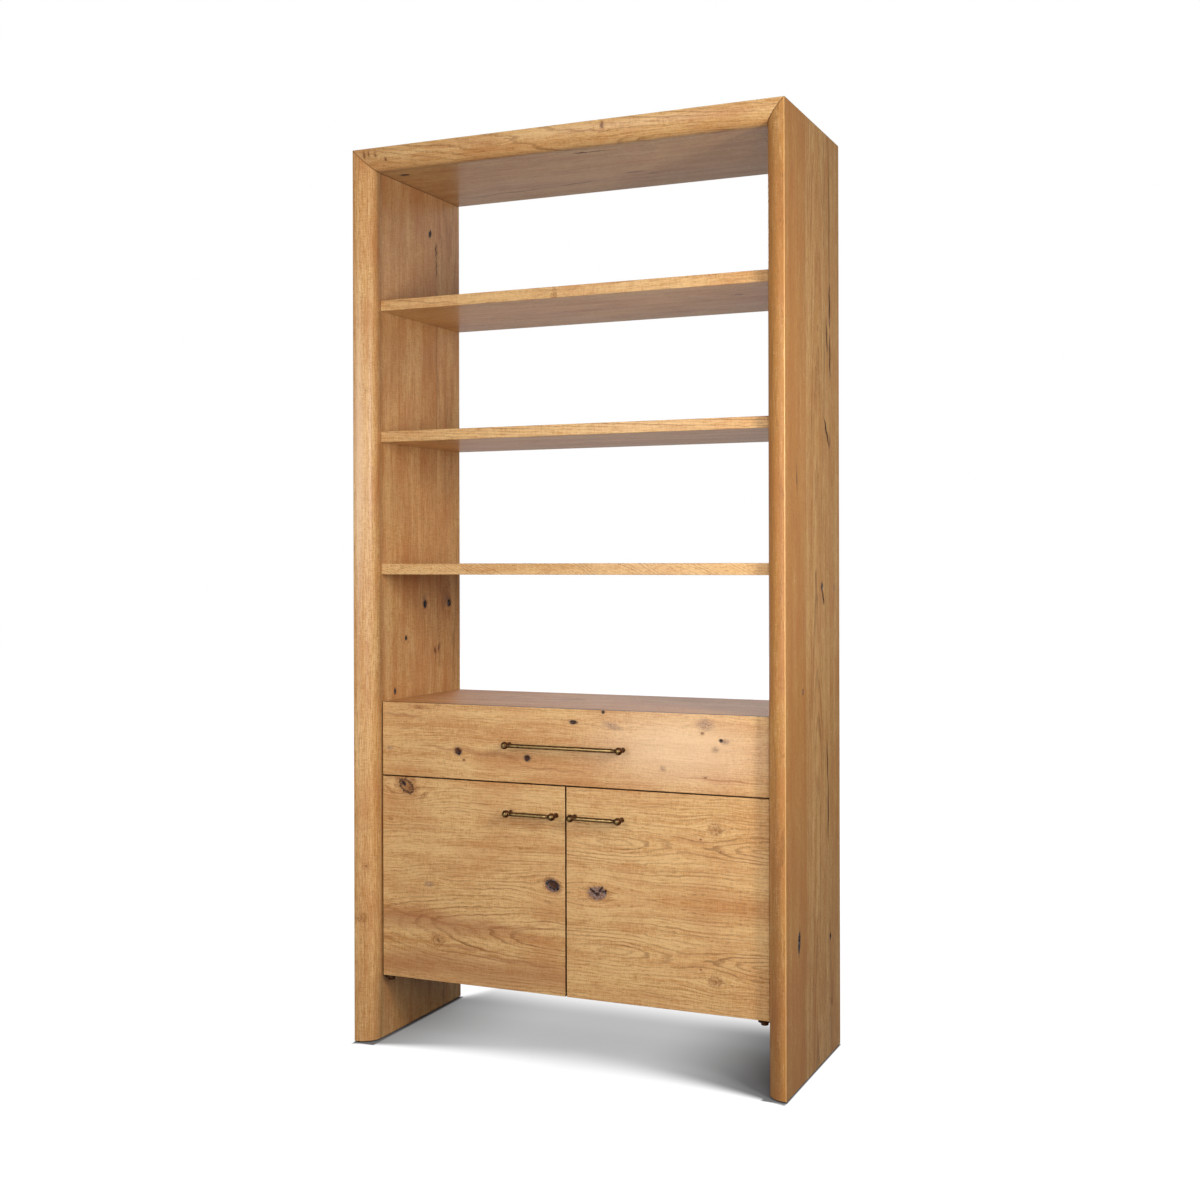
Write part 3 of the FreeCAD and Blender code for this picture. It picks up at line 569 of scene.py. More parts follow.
@dataclass(frozen=True)
class KnotBrush:
    """Draws the knots of one kind over the wood's colour.

    Near is the ragged distance from the nearest knot, in radii of that knot, and mottle is random about 0.
    """

    shader: Shader
    near: Signal
    mottle: Signal

    def over(self, body: Signal, tone: Operand, fade: Span, share: Operand) -> Signal:
        """Colour with a tone laid over it, between the distances where it starts and where it is full."""
        return self.shader.mix(self.near.ramp(*fade) * share, body, tone)

    def blend(self, amount: Signal, first: Colour, second: Colour) -> Signal:
        """Patches of a second tone in a first."""
        return self.shader.mix(amount, first, second)

    def painted_sheen(self, body: Signal) -> Signal:
        """Painted sheen: a broad pale patch."""
        return self.over(body, OakTone.PAINTED_SHEEN, (1.3, 0.2), 0.5 + self.mottle * 0.3)

    def painted_shade(self, body: Signal) -> Signal:
        """Painted shade: a broad brown patch."""
        return self.over(body, OakTone.KNOT, (1.5, 0.5), 0.34 + self.mottle * 0.3)

    def smudge(self, body: Signal) -> Signal:
        """Grey patch with no edge."""
        return self.over(body, OakTone.SMUDGE, (1.35, 0.3), 0.6 + self.mottle * 2.4)

    def sound(self, body: Signal) -> Signal:
        """Blush with a few rings and a dark middle.

        Args:
            body: Colour so far.

        Returns:
            The colour with the knots.
        """
        turns = (self.near * 7.5 + self.mottle * 3.0).sine() * 0.5 + 0.5
        rings = self.near.ramp(1.2, 0.95) * turns * (0.4 + self.mottle * 1.8)
        body = self.over(body, OakTone.HALO, (1.9, 0.7), 0.34 + self.mottle * 1.6)
        body = self.shader.mix(rings, body, OakTone.LINE)
        return self.over(body, OakTone.KNOT, (0.5, 0.1), 0.3 + self.mottle * 2.0)

    def ring(self, body: Signal) -> Signal:
        """Red blush, a dark ring that is broken in places, and warm wood inside it.

        Args:
            body: Colour so far.

        Returns:
            The colour with the knots.
        """
        inside = self.blend(self.mottle * 2.0 + 0.5, OakTone.KNOT_RING, OakTone.KNOT)
        dark = self.blend(self.mottle * 2.0 + 0.3, OakTone.BLACK, OakTone.KNOT)
        rim = self.near.ramp(0.45, 0.8) * self.near.ramp(1.15, 0.9) * (0.8 + self.mottle * 3.0)
        body = self.over(body, OakTone.HALO, (2.1, 0.9), 0.5 + self.mottle * 2.2)
        return self.shader.mix(rim, self.over(body, inside, (1.0, 0.8), 0.7), dark)

    def bark(self, body: Signal) -> Signal:
        """Blush, and bark from brown to grey inside it."""
        bark = self.blend(self.mottle.ramp(-0.1, 0.16), OakTone.BARK, OakTone.ASH_AND_GLINT)
        return self.over(self.over(body, OakTone.HALO, (1.6, 0.95), 0.4), bark, (1.08, 0.86), 0.85)

    def pin(self, body: Signal) -> Signal:
        """Dark speck in a small blush."""
        body = self.over(body, OakTone.HALO, (2.2, 1.0), 0.35)
        return self.over(body, OakTone.KNOT, (1.1, 0.7), 0.75 + self.mottle)

    def hole(self, body: Signal) -> Signal:
        """Brown rim with black inside it, and painted glints of grey in the black.

        Args:
            body: Colour so far.

        Returns:
            The colour with the holes.
        """
        # The grey patches inside a hole are painted glints.
        inside = self.blend(self.mottle.ramp(0.0, 0.2) * 0.8, OakTone.BLACK, OakTone.ASH_AND_GLINT)
        rim = self.over(body, OakTone.KNOT, (1.9, 1.0), 0.5)
        return self.shader.mix(self.near.ramp(1.2, 0.95), rim, inside)


DRAWN = {
    KnotKind.PAINTED_SHEEN: KnotBrush.painted_sheen,
    KnotKind.PAINTED_SHADE: KnotBrush.painted_shade,
    KnotKind.SMUDGE: KnotBrush.smudge,
    KnotKind.SOUND: KnotBrush.sound,
    KnotKind.RING: KnotBrush.ring,
    KnotKind.BARK: KnotBrush.bark,
    KnotKind.PIN: KnotBrush.pin,
    KnotKind.HOLE: KnotBrush.hole,
}


@dataclass
class Clear:
    """Clear wood at a place: its colour, its growth lines and its pores."""

    colour: Signal
    lines: Signal
    pores: Signal


@dataclass(frozen=True)
class Oak:
    """Oiled rustic oak for one board.

    Its ends are the places along the grain where it meets another board, which show as thin dark lines. A
    mitred board is one of the surround, with a painted highlight on its arris and painted shade on its round
    and inner faces. One with shaded edges has painted shade on its edges behind its face, for the gaps
    between fronts, with the darker end grain. Each pair of distances below says where something starts and
    where it is complete.
    """

    name: str
    grain: Grain
    figure: Figure
    face: Face = Face(0.0, 1)
    knots: Tuple[Knot, ...] = ()
    lines: Tuple[Line, ...] = ()
    ends: Tuple[float, ...] = ()
    mitred: bool = False
    shaded_edges: bool = False

    KNOT_DEPTH = 16.0
    PARTING_DEPTH = 70.0
    PLANK_SHIFT = (713.0, 91.0)
    CROWN = 85.0
    RELIEF = 0.35

    SEAM_LINE = (0.7, 0.2)
    END_LINE = (1.6, 0.6)
    MITRE_LINE = (1.7, 0.7)
    # Spans of the painted highlight on the arris, and of the painted shade on the round, on the inner faces
    # near the top and on the edges behind a face.
    ARRIS_HIGHLIGHT_SPAN = (2.9, 1.6)
    ROUND_FRONT = (20.0, 46.0)
    ROUND_BACK = (70.0, 48.0)
    ROUND_DEPTH = (34.0, 48.0)
    INNER_FACE = (48.5, 50.5)
    TOWARDS_TOP = (1300.0, 2150.0)
    BEHIND_FACE = (0.5, 2.2)
    BEFORE_BACK = (19.9, 19.3)
    CRACK_REACH = (9.0, 5.0)

    RIPPLE = Pattern((80.0, 20.0, 20.0), 3.1)
    RING_SWAY = Pattern((36.0, 6.0, 6.0), 1.7, 1.0)
    RING_STRENGTH = Pattern((330.0, 0.43, 0.71), 0.0, 0.0)
    PATCH = Pattern((190.0, 60.0, 60.0), 12.4, 1.0)
    BAND = Pattern((620.0, 26.0, 26.0), 7.7)
    STREAK = Pattern((150.0, 3.6, 3.6), 2.2, 3.0)
    FINE = Pattern((34.0, 1.5, 1.5), 4.4, 1.0)
    CLOUD = Pattern((150.0, 70.0, 70.0), 9.1)
    FLECK = Pattern((1.8, 11.0, 11.0), 5.9, 1.0)
    PORE = Pattern((10.0, 0.8, 0.8), 6.6, 0.0)
    SHINE = Pattern((160.0, 60.0, 60.0), 5.3)
    RAGGED = Pattern((6.0, 4.5, 4.5), 8.0, 1.0)
    MOTTLE = Pattern((4.0, 2.6, 2.6), 8.8)

    def material(self) -> bpy.types.Material:
        """Builds the board's material.

        Returns:
            A material that reads the surface's place at rest.
        """
        shader = new_shader("oak_" + self.name)
        place = shader.place()
        on_board = self.grain.sort(place)
        along, across, through = on_board
        if self.figure.mirror is not None:
            across = abs(across - self.figure.mirror)
        folded = (along, across, through)
        clear = self._clear(shader, folded, self._parted(folded))
        body = self._knots(shader, on_board, folded, clear.colour)
        body, cracks = self._lines(shader, folded, body)
        joint = self._joints(shader, place, on_board)
        body = shader.mix(joint, body, OakTone.PORE)
        if self.mitred:
            body = self._surround(shader, place, body)
        # Painted shade on the edges behind the face, for the gaps between fronts, with the darker end grain.
        if self.shaded_edges:
            behind = place[1] - FACE_Y
            edge = behind.ramp(*self.BEHIND_FACE) * behind.ramp(*self.BEFORE_BACK)
            body = shader.mix(edge * 0.85, body, OakTone.EDGE)
        hollow = self._hollow(shader, on_board).greater(cracks)
        height = 1.0 - clear.lines * 0.12 - clear.pores * 0.3 - joint * 0.3 - hollow
        shine = shader.noise(folded, self.SHINE, self.figure.seed) * 0.12
        shader.principled(
            {
                "Base Color": body,
                "Roughness": 0.44 + shine + clear.pores * 0.12 + hollow * 0.4,
                "Specular IOR Level": 0.3,
                "Coat Weight": 0.17,
                "Coat Roughness": 0.2,
                "Normal": shader.relief(height, self.RELIEF),
            }
        )
        return shader.owner

    def _surround(self, shader: Shader, place: Spot, body: Signal) -> Signal:
        """Paints a highlight on the outer arris, and paints shade on the round's inner edge and on the inner
        faces towards the top.

        Args:
            shader: The shader to add to.
            place: Row-frame place.
            body: Colour so far.

        Returns:
            The colour with the wear.
        """
        depth = (HEIGHT - place[2]).lesser(OUTER_X - abs(place[0]))
        back = place[1] - FRONT_Y
        # Painted highlight along the outer arris.
        body = shader.mix((depth + back).ramp(*self.ARRIS_HIGHLIGHT_SPAN) * 0.45, body, OakTone.PAINTED_ARRIS_HIGHLIGHT)
        # Painted shade on the inner edge of the front round.
        inner = back.ramp(*self.ROUND_FRONT) * back.ramp(*self.ROUND_BACK) * depth.ramp(*self.ROUND_DEPTH)
        body = shader.mix(inner * 0.22, body, OakTone.EDGE)
        # Painted shade on the inner faces towards the top.
        top_shade = depth.ramp(*self.INNER_FACE) * place[2].ramp(*self.TOWARDS_TOP)
        return shader.mix(top_shade * 0.22, body, OakTone.PAINTED_TOP_SHADE)

    def _tone(self, shader: Shader, across: Signal) -> Tuple[Signal, Signal, Signal]:
        """Finds the plank that a place is on.

        Args:
            shader: The shader to add to.
            across: Place across the grain.

        Returns:
            The plank's number and its depth and warmth of tone.
        """
        plank, deep, warm = (shader.number(value) for value in (0.0, self.figure.deep, self.figure.warm))
        before = (self.figure.deep, self.figure.warm)
        for seam in self.figure.seams:
            beyond = across.above(seam.across)
            plank = plank + beyond
            deep = deep + beyond * (seam.deep - before[0])
            warm = warm + beyond * (seam.warm - before[1])
            before = (seam.deep, seam.warm)
        return plank, deep, warm

    def _joints(self, shader: Shader, place: Spot, on_board: Spot) -> Signal:
        """Where the thin lines are between planks and where the board meets another.

        Args:
            shader: The shader to add to.
            place: Row-frame place.
            on_board: Place along, across and through the board.

        Returns:
            The darkness of the lines.
        """
        joint = shader.number(0.0)
        for seam in self.figure.seams:
            joint = joint.greater(abs(on_board[1] - seam.across).ramp(*self.SEAM_LINE) * 0.45)
        for end in self.ends:
            joint = joint.greater(abs(on_board[0] - end).ramp(*self.END_LINE) * 0.8)
        if self.mitred:
            off_mitre = abs((place[2] - HEIGHT) - (abs(place[0]) - OUTER_X))
            joint = joint.greater(off_mitre.ramp(*self.MITRE_LINE) * 0.8)
        return joint

    def _parted(self, spot: Spot) -> Signal:
        """Position across the grain, with the grain parted round each knot.

        Args:
            spot: Place along, across and through the board.

        Returns:
            The position across that the same fibre has away from knots.
        """
        along, across, through = spot
        flow = across
        for knot in self.knots:
            if knot.parting:
                middle = abs(knot.across - (self.figure.mirror or 0.0)) if knot.plain else knot.across
                away = across - middle
                reach = (knot.radius * (2.6 + 1.6 * knot.stretch), knot.radius * 2.3)
                level = self.face.plane if knot.through is None else knot.through
                near = (
                    ((along - knot.along) / reach[0]).squared()
                    + (away / reach[1]).squared()
                    + ((through - level) / self.PARTING_DEPTH).squared()
                ).fading()
                flow = flow - away * (near * knot.parting)
        return flow

    def _clear(self, shader: Shader, spot: Spot, flow: Signal) -> Clear:
        """Draws clear wood.

        Args:
            shader: The shader to add to.
            spot: Place along, across and through the board.
            flow: Position across the grain with the grain parted round the knots.

        Returns:
            The wood's colour, growth lines and pores.
        """
        figure, seed = self.figure, self.figure.seed
        along, across, through = spot
        plank, deep, warm = self._tone(shader, across)
        moved = (along + plank * self.PLANK_SHIFT[0], flow + plank * self.PLANK_SHIFT[1], through)
        swaying = Pattern((figure.sway_length, figure.sway_width, figure.sway_width), detail=1.5)
        sway = shader.noise(moved, swaying, seed)
        ripple = shader.noise(moved, self.RIPPLE, seed)
        bent = moved[1] + sway * (figure.sway * 0.6) + ripple * 5.0
        fibre = (moved[0], bent, through)

        from_heart = flow - figure.heart_across + sway * figure.sway + ripple * 9.0
        rise = (moved[0] - figure.taper_from) * figure.taper + sway * (figure.sway * 0.6)
        if figure.swell:
            rise = rise + ((along - figure.swell_at) / figure.swell_reach).squared().fading() * figure.swell
        radius = (from_heart.squared() + (through - figure.heart_through + rise).squared()).root()
        phase = radius / figure.spacing + shader.noise(moved, self.RING_SWAY, seed) * 0.7
        number = phase.whole()
        ring = phase.fraction()
        strong = shader.noise((along, number, number), self.RING_STRENGTH, seed).ramp(-0.12, 0.2)
        patch = shader.noise(fibre, self.PATCH, seed).ramp(-0.14, 0.12)
        crown = (from_heart / self.CROWN).squared().fading() * 0.5 + 0.5
        late = ring.ramp(0.5, 0.88) * ring.ramp(1.0, 0.93)
        lines = late * (strong * 0.8 + 0.2) * (patch * 0.6 + 0.4) * crown

        band, streak, fine, cloud = (
            shader.noise(fibre, pattern, seed) for pattern in (self.BAND, self.STREAK, self.FINE, self.CLOUD)
        )
        fleck = shader.noise(spot, self.FLECK, seed)
        tone = deep + band * 1.2 + streak * 0.7 + fine * 2.2 + fleck * 1.4
        colour = shader.mix(tone, OakTone.LIGHT, OakTone.DEEP)
        colour = shader.mix(warm + cloud * 1.4 + band * 0.6 + streak * 0.4, colour, OakTone.WARM)
        colour = shader.mix(lines * (0.8 * figure.contrast), colour, OakTone.LINE)
        speck = shader.noise(fibre, self.PORE, seed).ramp(0.06, 0.2)
        pores = speck * (ring.ramp(0.4, 0.8) * 0.6 + 0.4)
        return Clear(shader.mix(pores * 0.45, colour, OakTone.PORE), lines, pores)

    def _near(self, kind: KnotKind, on_board: Spot, folded: Spot) -> Optional[Signal]:
        """Distance from the nearest knot of a kind, in radii of that knot.

        Args:
            kind: The kind.
            on_board: Place along, across and through the board.
            folded: The same where the figure is mirrored.

        Returns:
            The distance, or None where the board has no such knot.
        """
        nearest = None
        for knot in (each for each in self.knots if each.kind is kind):
            along, across, through = on_board if knot.plain else folded
            level = self.face.plane if knot.through is None else knot.through
            first, second = along - knot.along, across - knot.across
            turn = math.radians(knot.lean)
            if turn:
                first, second = (
                    first * math.cos(turn) + second * math.sin(turn),
                    second * math.cos(turn) - first * math.sin(turn),
                )
            reach = (
                (first / (knot.radius * knot.stretch)).squared()
                + (second / knot.radius).squared()
                + ((through - level) / self.KNOT_DEPTH).squared()
            ).root()
            nearest = reach if nearest is None else nearest.lesser(reach)
        return nearest

    def _knots(self, shader: Shader, on_board: Spot, folded: Spot, body: Signal) -> Signal:
        """Draws the knots, kind by kind.

        Args:
            shader: The shader to add to.
            on_board: Place along, across and through the board.
            folded: The same where the figure is mirrored.
            body: Colour of the clear wood.

        Returns:
            The colour with the knots.
        """
        ragged = shader.noise(on_board, self.RAGGED, self.figure.seed)
        mottle = shader.noise(on_board, self.MOTTLE, self.figure.seed)
        for kind in KnotKind:
            near = self._near(kind, on_board, folded)
            if near is not None:
                rough = 0.7 if kind in (KnotKind.SOUND, KnotKind.RING) else 0.8
                body = DRAWN[kind](KnotBrush(shader, near + ragged * rough, mottle), body)
        return body

    def _hollow(self, shader: Shader, on_board: Spot) -> Signal:
        """1 inside the holes, 0 elsewhere."""
        near = self._near(KnotKind.HOLE, on_board, on_board)
        return shader.number(0.0) if near is None else near.ramp(1.05, 0.85)

    def _lines(self, shader: Shader, spot: Spot, body: Signal) -> Tuple[Signal, Signal]:
        """Draws the cracks and streaks.

        Args:
            shader: The shader to add to.
            spot: Place along, across and through the board.
            body: Colour so far.

        Returns:
            The colour with them, and where the open cracks are.
        """
        along, across, through = spot
        cracks = shader.number(0.0)
        for line in self.lines:
            share = (along - line.start[0]) / (line.end[0] - line.start[0])
            bend = (share * (line.WAVES * math.tau) + line.phase()).sine() * line.wander
            gap = abs(across - share * (line.end[1] - line.start[1]) - line.start[1] - bend)
            half = share * (1.0 - share) * (2 * line.width)
            here = abs(through - self.face.plane).ramp(*self.CRACK_REACH)
            if line.kind is LineKind.CHECK:
                crack = (half - gap).ramp(-0.45, 0.15) * here
                body = shader.mix((half * 3.0 + 1.0 - gap).ramp(-4.0, 2.0) * here * 0.3, body, OakTone.HALO)
                body = shader.mix(crack, body, OakTone.BLACK)
                cracks = cracks.greater(crack)
            else:
                soft = (half - gap).ramp(-0.8 * line.width, 0.4 * line.width) * here
                tone = OakTone.STREAK if line.kind is LineKind.STREAK else OakTone.SHADE
                body = shader.mix(soft * 0.5, body, tone)
        return body, cracks


@dataclass(frozen=True)
class PaleWood:
    """Plain sanded wood: plywood, drawer sides or beech."""

    name: str
    grain: Grain
    light: Colour
    dark: Colour
    spacing: float = 5.0
    heart: Tuple[float, float] = (400.0, 200.0)
    sway: float = 20.0
    plies: float = 0.0

    SWAY = Pattern((420.0, 120.0, 120.0), 4.0)
    RING_SWAY = Pattern((60.0, 9.0, 9.0), 2.0)
    STREAK = Pattern((150.0, 2.6, 2.6), 6.0, 3.0)
    FIBRE = Pattern((18.0, 0.6, 0.6), 8.0, 1.0)

    def material(self) -> bpy.types.Material:
        """Builds the wood's material.

        Returns:
            A material that reads the surface's place at rest.
        """
        shader = new_shader(self.name)
        spot = self.grain.sort(shader.place())
        along, across, through = spot
        sway = shader.noise(spot, self.SWAY) * self.sway
        aside, deep = across - self.heart[0] + sway, through - self.heart[1] + sway
        radius = (aside.squared() + deep.squared()).root()
        ring = (radius / self.spacing + shader.noise(spot, self.RING_SWAY) * 0.6).fraction()
        streak = shader.noise(spot, self.STREAK)
        fibre = shader.noise(spot, self.FIBRE)
        lines = ring.ramp(0.35, 0.85) * ring.ramp(1.0, 0.9)
        tone = lines * 0.4 + streak * 1.1 + fibre * 0.7 + 0.25
        body = shader.mix(tone, self.light, self.dark)
        if self.plies:
            layer = (through / self.plies).fraction().ramp(0.45, 0.55)
            body = shader.mix(layer * 0.12, body, self.dark)
        inputs = {
            "Base Color": body,
            "Roughness": 0.58 + streak * 0.2,
            "Normal": shader.relief(0.5 - lines * 0.2 + fibre * 0.6, 0.12),
        }
        shader.principled(inputs)
        return shader.owner


@dataclass(frozen=True)
class PullPlace:
    """Where a pull is: X of its middle, the distance between its balls' centres, and its height."""

    middle: float
    span: float
    height: float


@dataclass(frozen=True)
class AntiqueBrass:
    """Dark patinated brass. On a pull its front is worn bright, which also stands as a painted highlight
    along the bar.
    """

    name: str
    pull: Optional[PullPlace] = None

    PATINA = shown(60, 44, 28)
    RUBBED_AND_HIGHLIGHT = shown(164, 136, 88)
    BRONZE = shown(124, 80, 52)
    CLOUD = Pattern((9.0, 5.0, 5.0), 3.0, 3.0)
    SCRATCH = Pattern((22.0, 0.6, 0.6), 1.0)

    def material(self) -> bpy.types.Material:
        """Builds the brass.

        Returns:
            A material that reads the surface's place at rest.
        """
        shader = new_shader(self.name)
        spot = shader.place()
        cloud = shader.noise(spot, self.CLOUD)
        scratch = shader.noise(spot, self.SCRATCH)
        tarnish = shader.mix(cloud * 1.6 + 0.4, self.PATINA, self.BRONZE)
        rubbed_and_highlight = cloud.ramp(0.05, 0.3) * 0.3
        if self.pull is not None:
            # The front of a pull is lighter: worn brass, and a painted highlight along the bar.
            rubbed_and_highlight = (self._proud(spot) + cloud * 0.4 + scratch * 0.3).ramp(0.8, 0.97)
        shader.principled(
            {
                "Base Color": shader.mix(rubbed_and_highlight, tarnish, self.RUBBED_AND_HIGHLIGHT),
                "Metallic": 1.0,
                "Roughness": 0.42 - rubbed_and_highlight * 0.12 + scratch * 0.3,
                "Normal": shader.relief(cloud + scratch, 0.03),
            }
        )
        return shader.owner

    def _proud(self, spot: Spot) -> Signal:
        """How far a place is in front of the bar's axis.

        Args:
            spot: Row-frame place.

        Returns:
            The distance in radii of the bar, or of the ball that the place is on.
        """
        from_ball = abs(abs(spot[0] - self.pull.middle) - self.pull.span / 2)
        radius = from_ball.ramp(BALL_RADIUS, BALL_RADIUS - 1.0) * (BALL_RADIUS - BAR_RADIUS) + BAR_RADIUS
        return (BAR_Y - spot[1]) / radius


@dataclass(frozen=True)
class PlainMetal:
    """Plated or sintered metal of the hardware."""

    name: str
    colour: Colour
    dark: Colour
    roughness: float

    SPANGLE = Pattern((4.0, 4.0, 4.0), 3.0, 3.0)
    DRAWN = Pattern((1.2, 30.0, 1.2), 1.0, 1.0)

    def material(self) -> bpy.types.Material:
        """Builds the metal.

        Returns:
            A material that reads the surface's place at rest.
        """
        shader = new_shader(self.name)
        spot = shader.place()
        spangle = shader.noise(spot, self.SPANGLE)
        drawn = shader.noise(spot, self.DRAWN)
        shader.principled(
            {
                "Base Color": shader.mix(spangle * 1.5 + 0.35, self.colour, self.dark),
                "Metallic": 1.0,
                "Roughness": self.roughness + spangle * 0.25 + drawn * 0.2,
                "Normal": shader.relief(spangle * 0.5 + drawn, 0.02),
            }
        )
        return shader.owner


@dataclass(frozen=True)
class MouldedNylon:
    """Brown moulded nylon with a fine sparked texture."""

    name: str = "moulded_nylon"
    colour: Colour = shown(88, 66, 48)
    dark: Colour = shown(62, 46, 34)

    SPARK = Pattern((0.5, 0.5, 0.5), 2.0, 1.0)
    CLOUD = Pattern((14.0, 14.0, 14.0), 5.0)

    def material(self) -> bpy.types.Material:
        """Builds the nylon.

        Returns:
            A material that reads the surface's place at rest.
        """
        shader = new_shader(self.name)
        spot = shader.place()
        spark = shader.noise(spot, self.SPARK)
        cloud = shader.noise(spot, self.CLOUD)
        shader.principled(
            {
                "Base Color": shader.mix(cloud * 1.4 + 0.4, self.colour, self.dark),
                "Roughness": 0.46 + spark * 0.3,
                "Normal": shader.relief(spark, 0.05),
            }
        )
        return shader.owner


def put(name: str, mesh: bmesh.types.BMesh) -> bpy.types.Object:
    """Turns a mesh in millimetres into an object in metres.

    Args:
        name: The object's name.
        mesh: Its mesh, which is used up.

    Returns:
        The object, linked to the scene.
    """
    bmesh.ops.scale(mesh, vec=(MM, MM, MM), verts=mesh.verts)
    bmesh.ops.recalc_face_normals(mesh, faces=mesh.faces)
    data = bpy.data.meshes.new(name)
    mesh.to_mesh(data)
    mesh.free()
    made = bpy.data.objects.new(name, data)
    bpy.context.scene.collection.objects.link(made)
    return made


def cut(piece: bpy.types.Object, tools: bmesh.types.BMesh) -> None:
    """Takes every closed form of a tool mesh out of a piece.

    Args:
        piece: The piece to cut.
        tools: The forms to take out, in millimetres, which are used up.
    """
    if not tools.verts:
        tools.free()
        return
    tool = put(piece.name + "_tool", tools)
    carving = piece.modifiers.new("carving", "BOOLEAN")
    carving.operation = "DIFFERENCE"
    carving.solver = "EXACT"
    carving.use_self = True
    carving.object = tool
    graph = bpy.context.evaluated_depsgraph_get()
    carved = bpy.data.meshes.new_from_object(piece.evaluated_get(graph))
    piece.modifiers.clear()
    plain, piece.data = piece.data, carved
    bpy.data.meshes.remove(plain)
    bpy.data.meshes.remove(tool.data)
    carved.name = piece.name


def smooth(piece: bpy.types.Object, sharp_from: float = 32.0) -> None:
    """Shades a piece smooth but for its sharp edges, with its flat faces kept flat.

    Args:
        piece: The piece.
        sharp_from: Angle in degrees from which an edge stays sharp.
    """
    data = piece.data
    data.polygons.foreach_set("use_smooth", [True] * len(data.polygons))
    data.set_sharp_from_angle(angle=math.radians(sharp_from))
    weighted = piece.modifiers.new("flat faces", "WEIGHTED_NORMAL")
    weighted.keep_sharp = True
    weighted.weight = 80


def add_block(mesh: bmesh.types.BMesh, low: Triple, high: Triple) -> None:
    """Adds a block between two corners.

    Args:
        mesh: The mesh to add to.
        low: Its corner with the smallest coordinates.
        high: Its corner with the largest.
    """
    middle = [(a + b) / 2 for a, b in zip(low, high)]
    size = [b - a for a, b in zip(low, high)]
    place = Matrix.Translation(middle) @ Matrix.Diagonal((*size, 1.0))
    bmesh.ops.create_cube(mesh, size=1.0, matrix=place)


def add_bore(mesh: bmesh.types.BMesh, start: Vector, end: Vector, radius: float, sides: int = 24) -> None:
    """Adds a round rod.

    Args:
        mesh: The mesh to add to.
        start: Middle of its one end.
        end: Middle of the other.
        radius: Its radius.
        sides: Number of flats round it.
    """
    along = end - start
    place = Matrix.Translation((start + end) / 2) @ along.to_track_quat("Z", "Y").to_matrix().to_4x4()
    bmesh.ops.create_cone(
        mesh,
        cap_ends=True,
        segments=sides,
        radius1=radius,
        radius2=radius,
        depth=along.length,
        matrix=place,
    )


def add_rings(mesh: bmesh.types.BMesh, rings: Sequence[Sequence[Vector]]) -> None:
    """Adds a closed form through rings of points, each with as many points as the next.

    Args:
        mesh: The mesh to add to.
        rings: The rings in order, of which the first and last are capped.
    """
    rows = [[mesh.verts.new(point) for point in ring] for ring in rings]
    for row, following in zip(rows, rows[1:]):
        for here in range(len(row)):
            beside = (here + 1) % len(row)
            mesh.faces.new((row[here], row[beside], following[beside], following[here]))
    mesh.faces.new(list(reversed(rows[0])))
    mesh.faces.new(rows[-1])


def add_turned(mesh: bmesh.types.BMesh, start: Vector, axis: Vector, profile: Outline, sides: int) -> None:
    """Adds a turned form.

    Args:
        mesh: The mesh to add to.
        start: Where the profile's length starts.
        axis: Unit vector of the turning axis.
        profile: Distances along the axis with the radius there.
        sides: Number of flats round it.
    """
    frame_turn = axis.to_track_quat("Z", "Y")
    rings = []
    for distance, radius in profile:
        middle = start + axis * distance
        angles = [math.tau * step / sides for step in range(sides)]
        rings.append([middle + frame_turn @ Vector((math.cos(a), math.sin(a), 0)) * radius for a in angles])
    add_rings(mesh, rings)


def pick_edges(mesh: bmesh.types.BMesh, test: Callable[[Vector, Vector], bool]) -> List[bmesh.types.BMEdge]:
    """Edges whose two ends pass a test."""
    return [edge for edge in mesh.edges if test(edge.verts[0].co, edge.verts[1].co)]


def ease(mesh: bmesh.types.BMesh, edges: Iterable[bmesh.types.BMEdge], amount: float) -> None:
    """Rounds some edges over by an amount."""
    bmesh.ops.bevel(mesh, geom=list(edges), offset=amount, segments=EASE_STEPS, profile=0.5, affect="EDGES")


